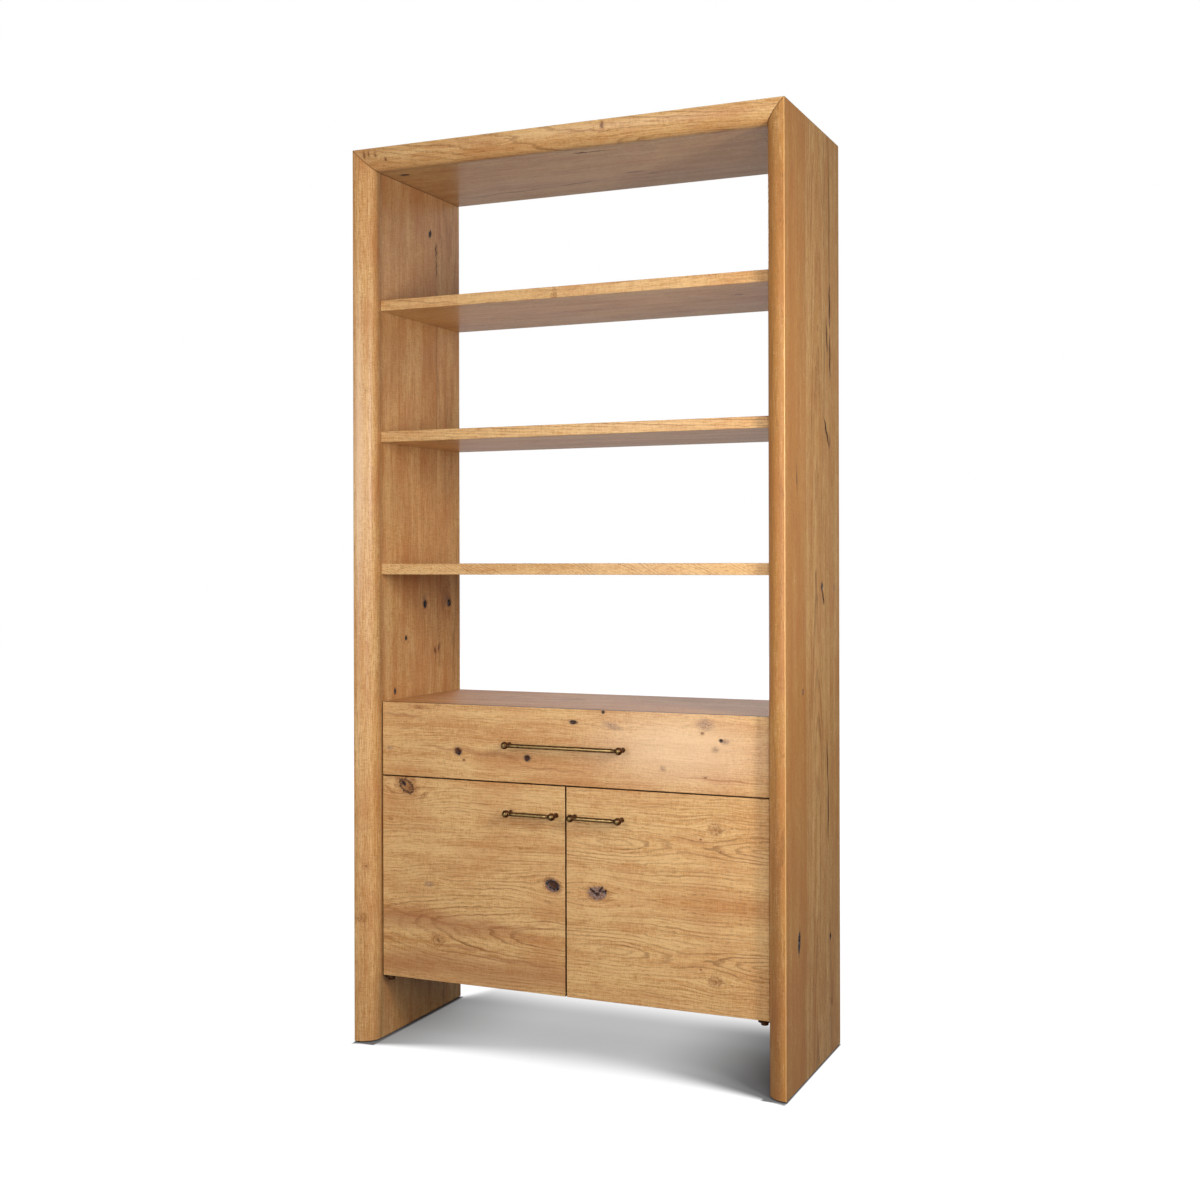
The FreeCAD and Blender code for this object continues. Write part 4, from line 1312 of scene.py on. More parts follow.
@dataclass
class Board:
    """A board of the bookcase, with its defects cut in."""

    name: str
    nodes: Tuple[str, ...]
    body: str
    oak: Oak

    PIT_SIDES = 26
    PIT_BUMPS = 3
    PIT_DEPTH = 4.5
    PIT_MOUTH = 0.6
    SLIT_STEPS = 28
    SLIT_MOUTH = 0.5
    SLIT_HALF = 0.08
    SLIT_TAPER = 0.4

    def shape(self) -> bmesh.types.BMesh:
        """Plain form of the board before its defects are cut."""
        raise NotImplementedError

    def extra_cuts(self, tools: bmesh.types.BMesh) -> None:
        """Adds whatever else is cut out of the board, which is nothing for most."""

    def build(self) -> bpy.types.Object:
        """Makes the board, gives it its finish and sets it in the place of its CAD nodes.

        Returns:
            The finished piece.
        """
        piece = put(self.name, self.shape())
        tools = bmesh.new()
        self.extra_cuts(tools)
        cut(piece, tools)
        defects = bmesh.new()
        self.add_defects(defects)
        cut(piece, defects)
        smooth(piece)
        piece.data.materials.clear()
        piece.data.materials.append(self.oak.material())
        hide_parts(*self.nodes)
        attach(piece, self.body)
        LOG.info("%s: %d faces, rides on %s", self.name, len(piece.data.polygons), self.body)
        return piece

    def add_defects(self, tools: bmesh.types.BMesh) -> None:
        """Adds the hole of each open knot and the slit of each cut crack."""
        for knot in self.oak.knots:
            if knot.kind is KnotKind.HOLE:
                self._add_knot_hole(tools, knot)
        for line in self.oak.lines:
            if line.cut:
                self._add_slit(tools, line)

    def _level(self, below: float) -> float:
        """Place through the board at a depth below its shown face."""
        return self.oak.face.plane - self.oak.face.outward * below

    def _add_knot_hole(self, tools: bmesh.types.BMesh, knot: Knot) -> None:
        """Adds a ragged pit that narrows downwards.

        Args:
            tools: The mesh to add to.
            knot: The knot, whose place also seeds the pit's outline.
        """
        luck = random.Random(int(knot.along * 7 + knot.across * 13))
        bumps = []
        for _ in range(self.PIT_BUMPS):
            bumps.append((luck.uniform(0.03, 0.12), luck.randint(2, 5), luck.uniform(0, math.tau)))
        deep = min(self.PIT_DEPTH, 0.4 * knot.radius + 0.8)
        turn = math.radians(knot.lean)
        rings = []
        for below, share in ((-self.PIT_MOUTH, 0.94), (0.0, 0.86), (deep * 0.6, 0.7), (deep, 0.45)):
            ring = []
            for step in range(self.PIT_SIDES):
                angle = math.tau * step / self.PIT_SIDES
                radius = knot.radius * share * (1 + sum(a * math.sin(n * angle + p) for a, n, p in bumps))
                first, second = radius * knot.stretch * math.cos(angle), radius * math.sin(angle)
                along = knot.along + first * math.cos(turn) - second * math.sin(turn)
                across = knot.across + first * math.sin(turn) + second * math.cos(turn)
                ring.append(self.oak.grain.point(along, across, self._level(below)))
            rings.append(ring)
        add_rings(tools, rings)

    def _add_slit(self, tools: bmesh.types.BMesh, line: Line) -> None:
        """Adds a slit that follows a crack and tapers to its ends.

        Args:
            tools: The mesh to add to.
            line: The crack.
        """
        rings = []
        for step in range(self.SLIT_STEPS + 1):
            share = 0.02 + 0.96 * step / self.SLIT_STEPS
            along = line.start[0] + (line.end[0] - line.start[0]) * share
            half = max(self.SLIT_HALF, line.width_at(share) / 2)
            middle = line.across_at(share)
            foot = half * self.SLIT_TAPER
            mouth = -self.SLIT_MOUTH
            corners = ((-half, mouth), (half, mouth), (foot, line.cut), (-foot, line.cut))
            rings.append(
                [self.oak.grain.point(along, middle + side, self._level(below)) for side, below in corners]
            )
        add_rings(tools, rings)


@dataclass
class FlatBoard(Board):
    """A plain board between two corners, eased along its edges."""

    low: Triple = (0.0, 0.0, 0.0)
    high: Triple = (0.0, 0.0, 0.0)
    square_ends: bool = True

    FRONT_EASE = 1.5
    BACK_EASE = 0.7

    def shape(self) -> bmesh.types.BMesh:
        """Block with its front edges eased well and its back edges slightly.

        Returns:
            The mesh, in millimetres.
        """
        mesh = bmesh.new()
        add_block(mesh, self.low, self.high)
        for level, amount in ((self.low[1], self.FRONT_EASE), (self.high[1], self.BACK_EASE)):

            def at_level(first: Vector, second: Vector, wanted: float = level) -> bool:
                """Whether an edge lies at the level, and runs along X where the ends stay square."""
                lies = abs(first.y - wanted) < 0.01 and abs(second.y - wanted) < 0.01
                return lies and (not self.square_ends or abs(first.z - second.z) < 0.01)

            ease(mesh, pick_edges(mesh, at_level), amount)
        return mesh


@dataclass
class Door(FlatBoard):
    """A flush door, bored for its pivot bushes."""

    hand: int = 1

    def extra_cuts(self, tools: bmesh.types.BMesh) -> None:
        """Adds the two bush holes, in the door's bottom and top edges."""
        for end, inward in ((DOOR_BOTTOM, 1), (DOOR_TOP, -1)):
            start = Vector((self.hand * PIVOT_X, PIVOT_Y, end - inward))
            add_bore(tools, start, start + Vector((0, 0, inward * (BUSH_HOLE + 1))), BUSH_RADIUS, 32)


class SurroundPanel(Board):
    """A side or the top: one section with a large quarter round at its front, mitred where panels meet."""

    ROUND_STEPS = 40
    ARRIS_STEPS = 6
    BACK_EASE = 0.8
    MITRE_CHAMFER = 0.35
    CHAMFER_LENGTH = 1.4 * MITRE_CHAMFER
    FOOT_EASE = 0.8

    def section(self) -> Outline:
        """Outline of the panel, starting at its outer back corner.

        Returns:
            Points by depth from the outer face and distance from the front.
        """

        def arc(depth: float, back: float, radius: float, start: float, steps: int) -> Outline:
            """Quarter circle about a centre, from an angle in quarter turns."""
            angles = [(start + step / steps) * math.pi / 2 for step in range(steps + 1)]
            return [(depth - radius * math.cos(a), back - radius * math.sin(a)) for a in angles]

        small = self.BACK_EASE
        outer_back = arc(small, DEPTH - small, small, 3, 3)
        arris = arc(ARRIS_ROUND, ARRIS_ROUND, ARRIS_ROUND, 0, self.ARRIS_STEPS)
        front = arc(ARRIS_ROUND, EDGE_ROUND, EDGE_ROUND, 1, self.ROUND_STEPS)
        inner_back = arc(PANEL - small, DEPTH - small, small, 2, 3)
        return outer_back + arris + front[1:] + inner_back

    def drawn_in(self, amount: float) -> Outline:
        """Makes the section smaller all round.

        Args:
            amount: How far each point moves inwards.

        Returns:
            The smaller section.
        """
        points = self.section()
        made = []
        for here, point in enumerate(points):
            before, after = points[here - 1], points[(here + 1) % len(points)]
            along = Vector((after[0] - before[0], after[1] - before[1])).normalized()
            made.append((point[0] - along.y * amount, point[1] + along.x * amount))
        return made

    def stations(self) -> List[Tuple[float, Callable[[float], float]]]:
        """How far the section is drawn in at each station, and where the station is for a depth."""
        raise NotImplementedError

    def spot(self, depth: float, back: float, station: float) -> Vector:
        """Row-frame place of a point of the section."""
        raise NotImplementedError

    def shape(self) -> bmesh.types.BMesh:
        """Section drawn through its stations.

        Returns:
            The mesh, in millimetres.
        """
        mesh = bmesh.new()
        rings = []
        for amount, place in self.stations():
            rings.append([self.spot(depth, back, place(depth)) for depth, back in self.drawn_in(amount)])
        add_rings(mesh, rings)
        return mesh


@dataclass
class SidePanel(SurroundPanel):
    """A side of the bookcase, from its glides to the mitre."""

    hand: int = 1

    def stations(self) -> List[Tuple[float, Callable[[float], float]]]:
        """Foot, and mitre with its small chamfer."""
        return [
            (self.FOOT_EASE, lambda depth: GLIDE),
            (0.0, lambda depth: GLIDE + self.FOOT_EASE),
            (0.0, lambda depth: HEIGHT - depth - self.CHAMFER_LENGTH),
            (self.MITRE_CHAMFER, lambda depth: HEIGHT - depth),
        ]

    def spot(self, depth: float, back: float, station: float) -> Vector:
        """Upright panel at its hand."""
        return Vector((self.hand * (OUTER_X - depth), FRONT_Y + back, station))

    def extra_cuts(self, tools: bmesh.types.BMesh) -> None:
        """Adds the rabbet for the cabinet's back and the holes for the shelf pins.

        Args:
            tools: The mesh to add to.
        """
        near, far = sorted((self.hand * (INNER_X - 5.0), self.hand * (INNER_X + RABBET)))
        low = (near, PLY_FRONT, CABINET_UNDERSIDE)
        add_block(tools, low, (far, FRONT_Y + DEPTH + 5.0, CABINET_LEVEL - SHELF))
        for y in PIN_COLUMNS:
            for z in PIN_ROWS:
                start = Vector((self.hand * (INNER_X - 1.0), y, z))
                end = Vector((self.hand * (INNER_X + PIN_HOLE_DEPTH), y, z))
                add_bore(tools, start, end, PIN_HOLE_RADIUS)


@dataclass
class TopPanel(SurroundPanel):
    """The top of the bookcase, mitred at both ends."""

    def stations(self) -> List[Tuple[float, Callable[[float], float]]]:
        """Both mitres with their small chamfers."""
        return [
            (self.MITRE_CHAMFER, lambda depth: -(OUTER_X - depth)),
            (0.0, lambda depth: -(OUTER_X - depth - self.CHAMFER_LENGTH)),
            (0.0, lambda depth: OUTER_X - depth - self.CHAMFER_LENGTH),
            (self.MITRE_CHAMFER, lambda depth: OUTER_X - depth),
        ]

    def spot(self, depth: float, back: float, station: float) -> Vector:
        """Level panel, with its round at the lower front."""
        return Vector((station, FRONT_Y + back, HEIGHT - depth))


@dataclass
class Pull:
    """A bar pull with a ball at each end, each on its own post."""

    name: str
    body: str
    place: PullPlace

    SIDES = 40
    BALL_STEPS = 14
    BALL_TIP = math.pi * 0.02
    BEAD = ((0.3, 0.2), (0.7, 0.7), (1.5, 0.95), (2.3, 0.7), (2.7, 0.2))
    COVE = (0.3, 0.5, 0.7, 0.85, 1.0)

    def profile(self) -> Outline:
        """Bar with its balls and the beads beside them.

        Returns:
            Distances from one tip, each with the radius there.
        """
        half = self.place.span / 2 + BALL_RADIUS
        neck_angle = math.asin(NECK_RADIUS / BALL_RADIUS)
        ball = []
        for step in range(self.BALL_STEPS + 1):
            angle = self.BALL_TIP + (math.pi - self.BALL_TIP - neck_angle) * step / self.BALL_STEPS
            ball.append((BALL_RADIUS * (1 - math.cos(angle)), BALL_RADIUS * math.sin(angle)))
        bead = [(ball[-1][0] + along, NECK_RADIUS + proud) for along, proud in self.BEAD]
        waist = [(BALL_RADIUS + NECK_LENGTH - 2.0, BAR_RADIUS - 0.1), (BALL_RADIUS + NECK_LENGTH, BAR_RADIUS)]
        one_end = ball + bead + waist
        return one_end + [(2 * half - distance, radius) for distance, radius in reversed(one_end)]

    def post(self) -> Outline:
        """Post with a coved collar at the face.

        Returns:
            Distances from the face, each with the radius there.
        """
        drop = COLLAR_RADIUS - POST_RADIUS
        cove = []
        for share in self.COVE:
            cove.append((COLLAR_HEIGHT * share, COLLAR_RADIUS - drop * math.sin(share * math.pi / 2)))
        return [(0.0, COLLAR_RADIUS), (COLLAR_EDGE, COLLAR_RADIUS)] + cove + [(BAR_REACH, POST_RADIUS)]

    def build(self) -> bpy.types.Object:
        """Makes the pull and sets it in the place of its CAD node.

        Returns:
            The finished piece.
        """
        mesh = bmesh.new()
        left = self.place.middle - self.place.span / 2
        tip = Vector((left - BALL_RADIUS, BAR_Y, self.place.height))
        add_turned(mesh, tip, Vector((1, 0, 0)), self.profile(), self.SIDES)
        for x in (left, left + self.place.span):
            foot = Vector((x, FACE_Y, self.place.height))
            add_turned(mesh, foot, Vector((0, -1, 0)), self.post(), self.SIDES)
        piece = put(self.name + "_brass", mesh)
        smooth(piece)
        piece.data.materials.append(AntiqueBrass("brass_" + self.name, self.place).material())
        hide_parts(self.name)
        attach(piece, self.body)
        LOG.info("%s: rides on %s", piece.name, self.body)
        return piece


class Assembly:
    """A group of the bookcase's pieces."""

    def boards(self) -> List[Board]:
        """Its boards, not yet built."""
        raise NotImplementedError

    def pulls(self) -> List[Pull]:
        """Its pulls, of which most groups have none."""
        return []


class Surround(Assembly):
    """The two sides and the top."""

    def boards(self) -> List[Board]:
        """Left side, right side and top.

        Returns:
            The boards, not yet built.
        """
        made: List[Board] = []
        for side, oak in (("left", self.left_oak()), ("right", self.right_oak())):
            node = "side_panel_" + side
            made.append(SidePanel(node + "_board", (node,), "carcass", oak, HANDS[side]))
        return [*made, TopPanel("top_panel_board", ("top_panel",), "carcass", self.top_oak())]

    def left_oak(self) -> Oak:
        """Oak of the left side, whose inner face shows.

        Returns:
            Its figure, with knot holes between the shelves and a crack near the top.
        """
        return Oak(
            "left_side",
            Grain.UPRIGHT_SIDE,
            Figure(
                heart_across=160.0, heart_through=-330.0, taper=0.015, taper_from=1100.0, spacing=6.0,
                sway=30.0, contrast=0.6, deep=0.42, warm=0.2, seed=11.0,
                seams=(Seam(-182.0, 0.4, 0.3), Seam(104.0, 0.35, 0.25)),
            ),
            Face(-INNER_X, 1),
            (
                Knot(2078.0, 70.0, 6.0, KnotKind.HOLE, 1.5, 25.0),
                Knot(1091.0, 39.0, 8.0, KnotKind.HOLE, 1.15, 8.0),
                Knot(1103.0, 36.0, 12.0, KnotKind.SMUDGE, 1.5),
                Knot(1091.0, 169.0, 8.0, KnotKind.HOLE, 1.1),
                Knot(1100.0, 158.0, 16.0, KnotKind.SMUDGE, 1.2),
                Knot(1006.0, -59.0, 4.5, KnotKind.HOLE, 1.3),
                Knot(966.0, 92.0, 6.5, KnotKind.PIN, 1.4, -20.0),
                Knot(972.0, 112.0, 5.0, KnotKind.PIN, 2.2, 15.0),
                Knot(872.0, -114.0, 4.5, KnotKind.HOLE, 1.6),
                Knot(441.0, -222.0, 3.2, KnotKind.PIN, 2.0, through=-519.0),
                Knot(313.0, -229.0, 9.0, KnotKind.SOUND, 1.2, through=-540.0),
                # Painted sheen down the front round at mid height.
                Knot(1450.0, -228.0, 26.0, KnotKind.PAINTED_SHEEN, 16.0, parting=0.0, through=-545.0),
            ),
            (
                Line((2062.0, 101.0), (2016.0, 102.0), 5.0, cut=2.5),
                Line((2022.0, 103.0), (1968.0, 104.0), 3.0, cut=2.0),
                Line((1980.0, 104.0), (1500.0, 106.0), 3.0, LineKind.SHADE, 3.0),
            ),
            mitred=True,
        )

    def right_oak(self) -> Oak:
        """Oak of the right side, whose outer face shows.

        Returns:
            Its figure, with the long cracks of its back plank and a few knot holes.
        """
        return Oak(
            "right_side",
            Grain.UPRIGHT_SIDE,
            Figure(
                heart_across=30.0, heart_through=530.0, taper=0.035, taper_from=1000.0, spacing=7.5,
                sway=36.0, deep=1.0, warm=0.3, seed=23.0,
                seams=(Seam(-184.0, 0.95, 0.3), Seam(-66.0, 0.6, 0.1), Seam(140.0, 0.6, 0.15)),
            ),
            Face(OUTER_X, 1),
            (
                Knot(1141.0, 70.0, 7.0, KnotKind.HOLE, 1.4),
                Knot(1137.0, 180.0, 9.0, KnotKind.SMUDGE, 1.3),
                Knot(902.0, -93.0, 3.0, KnotKind.HOLE, 2.2),
                Knot(1388.0, -140.0, 4.0, KnotKind.PIN, 3.0),
                Knot(334.0, -128.0, 8.0, KnotKind.HOLE, 2.8, 6.0),
                Knot(290.0, 139.0, 5.5, KnotKind.HOLE, 1.4),
                Knot(130.0, 152.0, 5.0, KnotKind.PIN, 2.0),
                Knot(1755.0, 35.0, 2.2, KnotKind.PIN, 3.0, parting=0.0),
                Knot(1660.0, 18.0, 2.2, KnotKind.PIN, 2.0, parting=0.0),
                Knot(1966.0, 92.0, 2.0, KnotKind.PIN, 2.4, parting=0.0),
                Knot(1490.0, 142.0, 7.0, KnotKind.SMUDGE, 2.6, 20.0, 0.0),
                Knot(1486.0, 136.0, 4.5, KnotKind.PIN, 2.4, 20.0),
                # Painted shade on the lower part of the front round.
                Knot(240.0, -228.0, 30.0, KnotKind.PAINTED_SHADE, 15.0, parting=0.0, through=535.0),
            ),
            (
                Line((2200.0, 139.0), (1850.0, 141.0), 3.4, wander=1.0),
                Line((1885.0, 141.0), (1765.0, 142.0), 9.0, wander=1.0, cut=2.5),
                Line((1760.0, 144.0), (1640.0, 146.0), 7.0, wander=1.5, cut=1.5),
                Line((1790.0, 112.0), (1700.0, 122.0), 6.0, wander=1.0),
                Line((1550.0, 90.0), (1480.0, 136.0), 9.0, wander=2.5, cut=1.5),
                Line((1136.0, 72.0), (1095.0, 90.0), 8.0, wander=1.0),
                Line((1440.0, -146.0), (1360.0, -136.0), 6.0, LineKind.SHADE),
                Line((1780.0, 96.0), (1540.0, 92.0), 5.0, LineKind.SHADE),
                Line((772.0, 112.0), (660.0, 120.0), 5.0, cut=1.2),
                Line((672.0, 124.0), (520.0, 120.0), 5.5, cut=1.5),
                Line((350.0, 134.0), (165.0, 148.0), 3.6, LineKind.SHADE, 2.0),
                Line((165.0, 158.0), (136.0, 150.0), 5.0, LineKind.SHADE, 0.5),
                Line((118.0, 146.0), (20.0, 143.0), 3.6, LineKind.SHADE, 1.0),
                Line((150.0, -70.0), (60.0, -64.0), 2.0, LineKind.SHADE),
            ),
            mitred=True,
        )

    def top_oak(self) -> Oak:
        """Oak of the top, whose front and underside show.

        Returns:
            Its figure, with small knots on the front and a crack along the underside.
        """
        return Oak(
            "top",
            Grain.LEVEL_SHELF,
            Figure(
                heart_across=-190.0, heart_through=2290.0, taper=0.12, taper_from=-560.0, spacing=7.5,
                sway=30.0, sway_length=330.0, contrast=0.8, deep=0.22, warm=0.12, seed=37.0,
            ),
            Face(HEIGHT - PANEL, -1),
            (
                Knot(-464.0, -138.0, 6.0, KnotKind.HOLE, 2.0),
                Knot(80.0, 72.0, 5.0, KnotKind.PIN, 5.0),
                Knot(118.0, 100.0, 4.0, KnotKind.PIN, 3.0),
                Knot(-528.0, -228.0, 2.2, KnotKind.PIN, 1.4, through=2220.0),
                Knot(-515.0, -229.0, 2.0, KnotKind.PIN, 1.4, through=2213.0),
                Knot(-496.0, -228.0, 2.6, KnotKind.PIN, 1.2, through=2209.0),
                Knot(-470.0, -222.0, 3.0, KnotKind.PIN, 1.4, through=2196.0),
                Knot(120.0, -229.0, 3.0, KnotKind.PIN, 1.6, through=2216.0),
            ),
            (
                Line((12.0, -152.0), (52.0, -150.0), 6.0, wander=1.0, cut=1.5),
                Line((44.0, -150.0), (96.0, -148.0), 3.0, wander=1.0),
                Line((-154.0, 127.0), (-33.0, 112.0), 2.4),
                Line((-470.0, 150.0), (-150.0, 128.0), 1.8, wander=3.0),
            ),
            mitred=True,
        )


class Shelves(Assembly):
    """The three open shelves and the cabinet's top, which run from side to side."""

    ENDS = (-INNER_X, INNER_X)

    def boards(self) -> List[Board]:
        """Upper, middle and lower shelf, and the cabinet's top.

        Returns:
            The boards.
        """
        upper = Figure(-420.0, 1700.0, 0.03, spacing=7.0, sway=24.0, deep=0.2, warm=0.1, seed=41.0)
        middle = Figure(-150.0, 1420.0, 0.05, spacing=7.0, sway=30.0, deep=0.15, warm=0.05, seed=53.0)
        lower = Figure(
            -170.0, 1110.0, 0.45, -600.0, spacing=6.5, sway=60.0, sway_length=160.0, contrast=0.7,
            deep=0.15, warm=0.0, seed=67.0,
        )
        cabinet = Figure(60.0, 700.0, 0.03, spacing=8.0, sway=34.0, deep=0.8, warm=0.5, seed=71.0)
        cabinet_oak = Oak("cabinet_top", Grain.LEVEL_SHELF, cabinet, Face(CABINET_LEVEL, 1), ends=self.ENDS)
        return [
            self.shelf(
                "upper",
                UPPER_LEVEL,
                upper,
                Knot(-27.0, -179.0, 4.0, KnotKind.SOUND, 1.6, through=1842.0),
                Knot(392.0, -40.0, 6.0, KnotKind.PIN, 2.0),
            ),
            self.shelf("middle", MIDDLE_LEVEL, middle, Knot(-40.0, 60.0, 6.0, KnotKind.SOUND, 1.6)),
            self.shelf("lower", LOWER_LEVEL, lower, Knot(230.0, 80.0, 6.0, KnotKind.SOUND, 1.6)),
            self.across("cabinet_top", CABINET_LEVEL, CABINET_FRONT, cabinet_oak),
        ]

    def shelf(self, which: str, level: float, figure: Figure, *knots: Knot) -> FlatBoard:
        """Open shelf, whose underside shows.

        Args:
            which: Upper, middle or lower.
            level: Height of its upper face.
            figure: How its growth rings run.
            knots: Its knots.

        Returns:
            The board, not yet built.
        """
        oak = Oak(which + "_shelf", Grain.LEVEL_SHELF, figure, Face(level - SHELF, -1), knots, ends=self.ENDS)
        return self.across("shelf_" + which, level, SHELF_FRONT, oak)

    def across(self, node: str, level: float, front: float, oak: Oak) -> FlatBoard:
        """Board from side to side, for a CAD node, with its upper face at a level."""
        low, high = (-INNER_X, front, level - SHELF), (INNER_X, BOARD_BACK, level)
        return FlatBoard(node + "_board", (node,), "carcass", oak, low, high)


@dataclass
class Drawer(Assembly):
    """The drawer's front with its long pull."""

    pull_place: PullPlace = PullPlace(0.0, 299.0, 759.25)

    def boards(self) -> List[Board]:
        """The drawer's front, not yet built."""
        reach = (-FRONT_HALF, FACE_Y, DOOR_TOP + DRAWER_GAP), (FRONT_HALF, FRONTS_BACK, CABINET_LEVEL)
        return [FlatBoard("drawer_front_board", ("drawer_front",), "drawer", self.oak(), *reach, False)]

    def pulls(self) -> List[Pull]:
        """The long pull."""
        return [Pull("drawer_pull", "drawer", self.pull_place)]

    def oak(self) -> Oak:
        """Oak of the drawer's front.

        Returns:
            Its figure, with its row of small knots and the painted sheen towards the right.
        """
        return Oak(
            "drawer_front",
            Grain.LEVEL_FRONT,
            Figure(
                heart_across=1150.0, heart_through=-60.0, spacing=6.0, sway=30.0, sway_width=90.0,
                contrast=0.75, deep=0.25, warm=0.22, seed=83.0,
            ),
            Face(FACE_Y, -1),
            (
                Knot(-402.3, 840.9, 4.5, KnotKind.SOUND, 2.2),
                Knot(-348.5, 847.8, 2.5, KnotKind.SOUND, 3.0, parting=0.0),
                Knot(20.7, 819.9, 4.5, KnotKind.HOLE, 2.0),
                Knot(98.5, 846.9, 3.6, KnotKind.HOLE, 1.1),
                Knot(-291.6, 736.1, 8.0, KnotKind.HOLE, 1.2, -30.0, 0.85),
                Knot(-275.6, 715.2, 2.8, KnotKind.PIN, 1.4),
                Knot(-102.0, 728.1, 6.6, KnotKind.HOLE, 1.2, parting=0.85),
                Knot(-487.1, 735.1, 6.0, KnotKind.SMUDGE, 1.8),
                Knot(121.4, 814.9, 9.0, KnotKind.SMUDGE, 3.0, -14.0),
                Knot(353.9, 826.9, 15.0, KnotKind.SMUDGE, 1.6),
                Knot(347.9, 806.9, 3.0, KnotKind.PIN, 1.4, parting=0.0),
                Knot(392.8, 792.0, 3.4, KnotKind.HOLE, 1.2),
                Knot(402.8, 790.0, 8.0, KnotKind.SMUDGE, 1.5),
                Knot(378.8, 770.0, 8.0, KnotKind.SMUDGE, 1.2),
                Knot(250.1, 720.2, 7.0, KnotKind.SMUDGE, 1.2),
                Knot(354.9, 705.2, 2.0, KnotKind.PIN, 1.8, parting=0.0),
                # Painted sheen over the right part of the front.
                Knot(300.0, 765.0, 100.0, KnotKind.PAINTED_SHEEN, 2.6, parting=0.0),
            ),
            (
                Line((303.0, 703.2), (507.5, 697.2), 3.0, LineKind.STREAK),
                Line((-355.4, 743.1), (-116.0, 727.1), 8.0, LineKind.STREAK, 3.0),
                Line((-126.0, 706.2), (43.6, 701.2), 4.0, LineKind.STREAK, 2.0),
                Line((-503.1, 822.9), (-395.3, 815.9), 5.0, LineKind.STREAK),
                Line((-425.3, 842.9), (-365.4, 838.9), 5.0, LineKind.STREAK),
            ),
            shaded_edges=True,
        )


